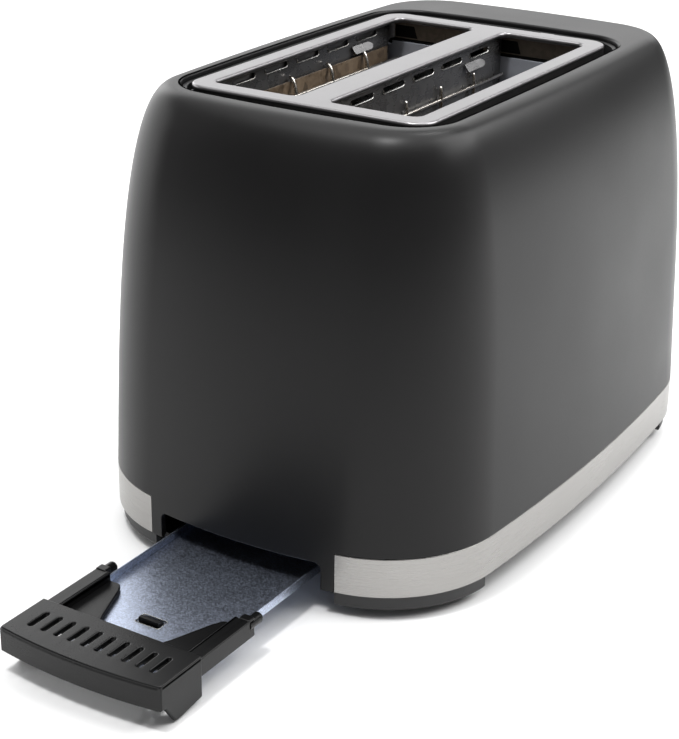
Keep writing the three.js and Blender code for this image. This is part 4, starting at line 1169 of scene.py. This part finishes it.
def lever_knob():
    """Rounded finger paddle with two grip ribs on its tip."""
    z = LEVER_Z
    outline = fillet([(LEVER_FACE, z - 7), (LEVER_FACE + 7, z - 7), (LEVER_TIP - 3, z - 9),
                      (LEVER_TIP, z - 6), (LEVER_TIP, z + 4), (LEVER_TIP - 4, z + 6.5),
                      (LEVER_FACE, z + 6.5)], [1.0, 8.0, 3.2, 3.2, 3.2, 5.0, 1.0], 8)
    grip = plate("grip", outline, -LEVER_HALF, LEVER_HALF, (), 2.4, 7, "Y")
    ribs = []
    for i in range(2):
        near, far, top = LEVER_TIP - 9 + 3 * i, LEVER_TIP - 7.6 + 3 * i, z + 6.9 - 0.75 * i
        rib = fillet([(near, z + 5), (near, top), (far, top - 0.1), (far, z + 5 - i)], 0.4, 3)
        ribs.append(plate("rib", rib, -LEVER_HALF + 4, LEVER_HALF - 4, (), 0.4, 3, "Y"))
    return joined("lever_paddle", [grip, *ribs])


def cord_gland():
    """Moulded outlet bush: a sleeve in the wall and a domed flange outside it."""
    face = BASE["a"] - CORD_Y ** 2 / (2 * BASE["end"])
    section = [(face - 14, 3.9), (face - 14, 5.7), (face - 13.6, 6.0), (face + 1.7, 6.0), (face + 1.7, 8.3),
               (face + 2.1, 8.5), (face + 3.4, 8.3), (face + 4.1, 7.4), (face + 4.5, 6.0), (face + 4.5, 5.0),
               (face + 4.1, 4.2), (face + 3.2, 3.9)]
    return revolve("outlet_bush", section, (0, CORD_Y, CORD_Z), steps=56, ring=True)


finish_piece(browning_knob(), "handle_black", "browning_knob", body="browning_dial")
finish_piece(dial_marks(), "mark_paint")
finish_piece(pointer_line(), "mark_paint", body="browning_dial")
for name, z in zip(("reheat", "defrost", "cancel"), BUTTON_Z):
    finish_piece(push_button(name, z), "button_black", "button_" + name, body=name + "_button")
finish_piece(lever_knob(), "handle_black", "lever_knob", body="carriage")
finish_piece(cord_gland(), "foot_rubber", "cord_gland")


# ---- CAD nodes that stay, with worked edges ----
def soften(piece, width):
    """Rounds a kept CAD node's edges: its flat faces are dissolved first, so the rounding is clean."""
    weld = piece.modifiers.new("weld", "WELD")
    weld.merge_threshold = 1e-6
    flat = piece.modifiers.new("flat", "DECIMATE")
    flat.decimate_type = "DISSOLVE"
    flat.angle_limit = math.radians(1.0)
    bevel = piece.modifiers.new("edges", "BEVEL")
    bevel.width = width * MM
    bevel.segments = 3
    bevel.limit_method = "ANGLE"
    bevel.angle_limit = math.radians(30)
    bevel.harden_normals = True


LOOKS = {"chassis_plate_control_end": "end_sheet"}  # nodes that look different from their slot's other nodes: the control end's plate keeps the plain galvanised colour, where the chassis colour is darkened by a painted reflection of the mica
LOOKS.update({f"base_screw_{number}": "black_oxide" for number in range(1, 5)})
EDGE_WIDTHS = {"control_panel": 0.8, "terminal_block": 0.5, "base_plate": 0.4, "electromagnet_coil": 0.8}
slots = {row["node"]: row["material_slot"] for row in frame["record"]["subparts"]}
for name, piece in frame["nodes"].items():
    if piece.hide_render:
        continue
    piece.data.materials.clear()
    piece.data.materials.append(MATERIALS[LOOKS.get(name, slots[name])])
    for polygon in piece.data.polygons:
        polygon.use_smooth = True
    soften(piece, EDGE_WIDTHS.get(name, 0.2))


# ---- camera, lights and floor ----
CAMERA_PLACE = (-632.3, -358.0, 357.2)
CAMERA_YAW, CAMERA_PITCH, CAMERA_ROLL = 31.995, 23.272, 0.675
CAMERA_LENS, CAMERA_SENSOR = 87.27, 36.0
STAGE_HALF, FLOOR_WHITE, WORLD_LIGHT = 4000, 0.9, 0.15


def aim(yaw, pitch, roll):
    """Turns a camera to look along yaw (from +X towards +Y) and down by pitch, rolled clockwise."""
    yaw, pitch, roll = (math.radians(angle) for angle in (yaw, pitch, roll))
    ahead = Vector((math.cos(pitch) * math.cos(yaw), math.cos(pitch) * math.sin(yaw), -math.sin(pitch)))
    level = Vector((math.sin(yaw), -math.cos(yaw), 0))
    upright = level.cross(ahead)
    right = level * math.cos(roll) + upright * math.sin(roll)
    up = upright * math.cos(roll) - level * math.sin(roll)
    return Matrix((right, up, -ahead)).transposed().to_4x4()


camera = linked("camera", bpy.data.cameras.new("camera"))
camera.data.lens = CAMERA_LENS
camera.data.sensor_width = CAMERA_SENSOR
camera.data.clip_start = 0.01
place = Matrix.Translation(to_world([CAMERA_PLACE])[0])
camera.matrix_world = place @ aim(CAMERA_YAW, CAMERA_PITCH, CAMERA_ROLL)
bpy.context.scene.camera = camera


def softbox(name, place, target, size, radiance):
    """A rectangular studio light. A mirror would show its radiance, where the floor shows about 1."""
    lamp = linked(name, bpy.data.lights.new(name, "AREA"))
    lamp.data.shape = "RECTANGLE"
    lamp.data.size, lamp.data.size_y = size
    lamp.data.energy = radiance * math.pi * size[0] * size[1]
    lamp.location = place
    lamp.rotation_euler = (Vector(target) - Vector(place)).to_track_quat("-Z", "Y").to_euler()


CENTRE = (BODY_X * MM, 0.0, 0.09)
softbox("overhead", (0.1, 0.0, 2.0), CENTRE, (2.6, 2.2), 1.9)
softbox("glint", (-0.47, 0.12, 1.62), CENTRE, (0.2, 0.2), 95.0)
softbox("second_glint", (0.78, 0.0, 1.62), CENTRE, (0.2, 0.2), 30.0)
softbox("back", (1.4, 0.9, 0.85), CENTRE, (2.2, 1.2), 1.5)
softbox("left", (0.2, 1.5, 0.5), CENTRE, (2.0, 1.0), 1.9)
softbox("right", (0.6, -0.75, 0.8), (0.6, -0.72, 0.0), (1.2, 0.8), 5.2)
softbox("side", (0.9, -1.1, 0.42), CENTRE, (1.5, 0.8), 0.3)

stage_corners = [(sx * STAGE_HALF, sy * STAGE_HALF, 0) for sx, sy in ((-1, -1), (1, -1), (1, 1), (-1, 1))]
floor = mesh_piece("studio_floor", stage_corners, [(0, 1, 2, 3)])
floor_paint = Paint("pale_floor", (FLOOR_WHITE, FLOOR_WHITE, FLOOR_WHITE), 0.9)
floor_paint.roughness_by(floor_paint.noise(40.0), 0.85, 0.95)
floor.data.materials.append(floor_paint.material)
floor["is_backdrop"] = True

world = bpy.data.worlds.new("studio")
world.use_nodes = True
backdrop = world.node_tree.nodes["Background"]
backdrop.inputs["Color"].default_value = (1.0, 1.0, 1.0, 1.0)
backdrop.inputs["Strength"].default_value = WORLD_LIGHT
bpy.context.scene.world = world
bpy.context.scene.view_settings.view_transform = "Standard"

({"cad": [list(corner) for corner in cad_box],
           "visual": [list(corner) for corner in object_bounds()]})
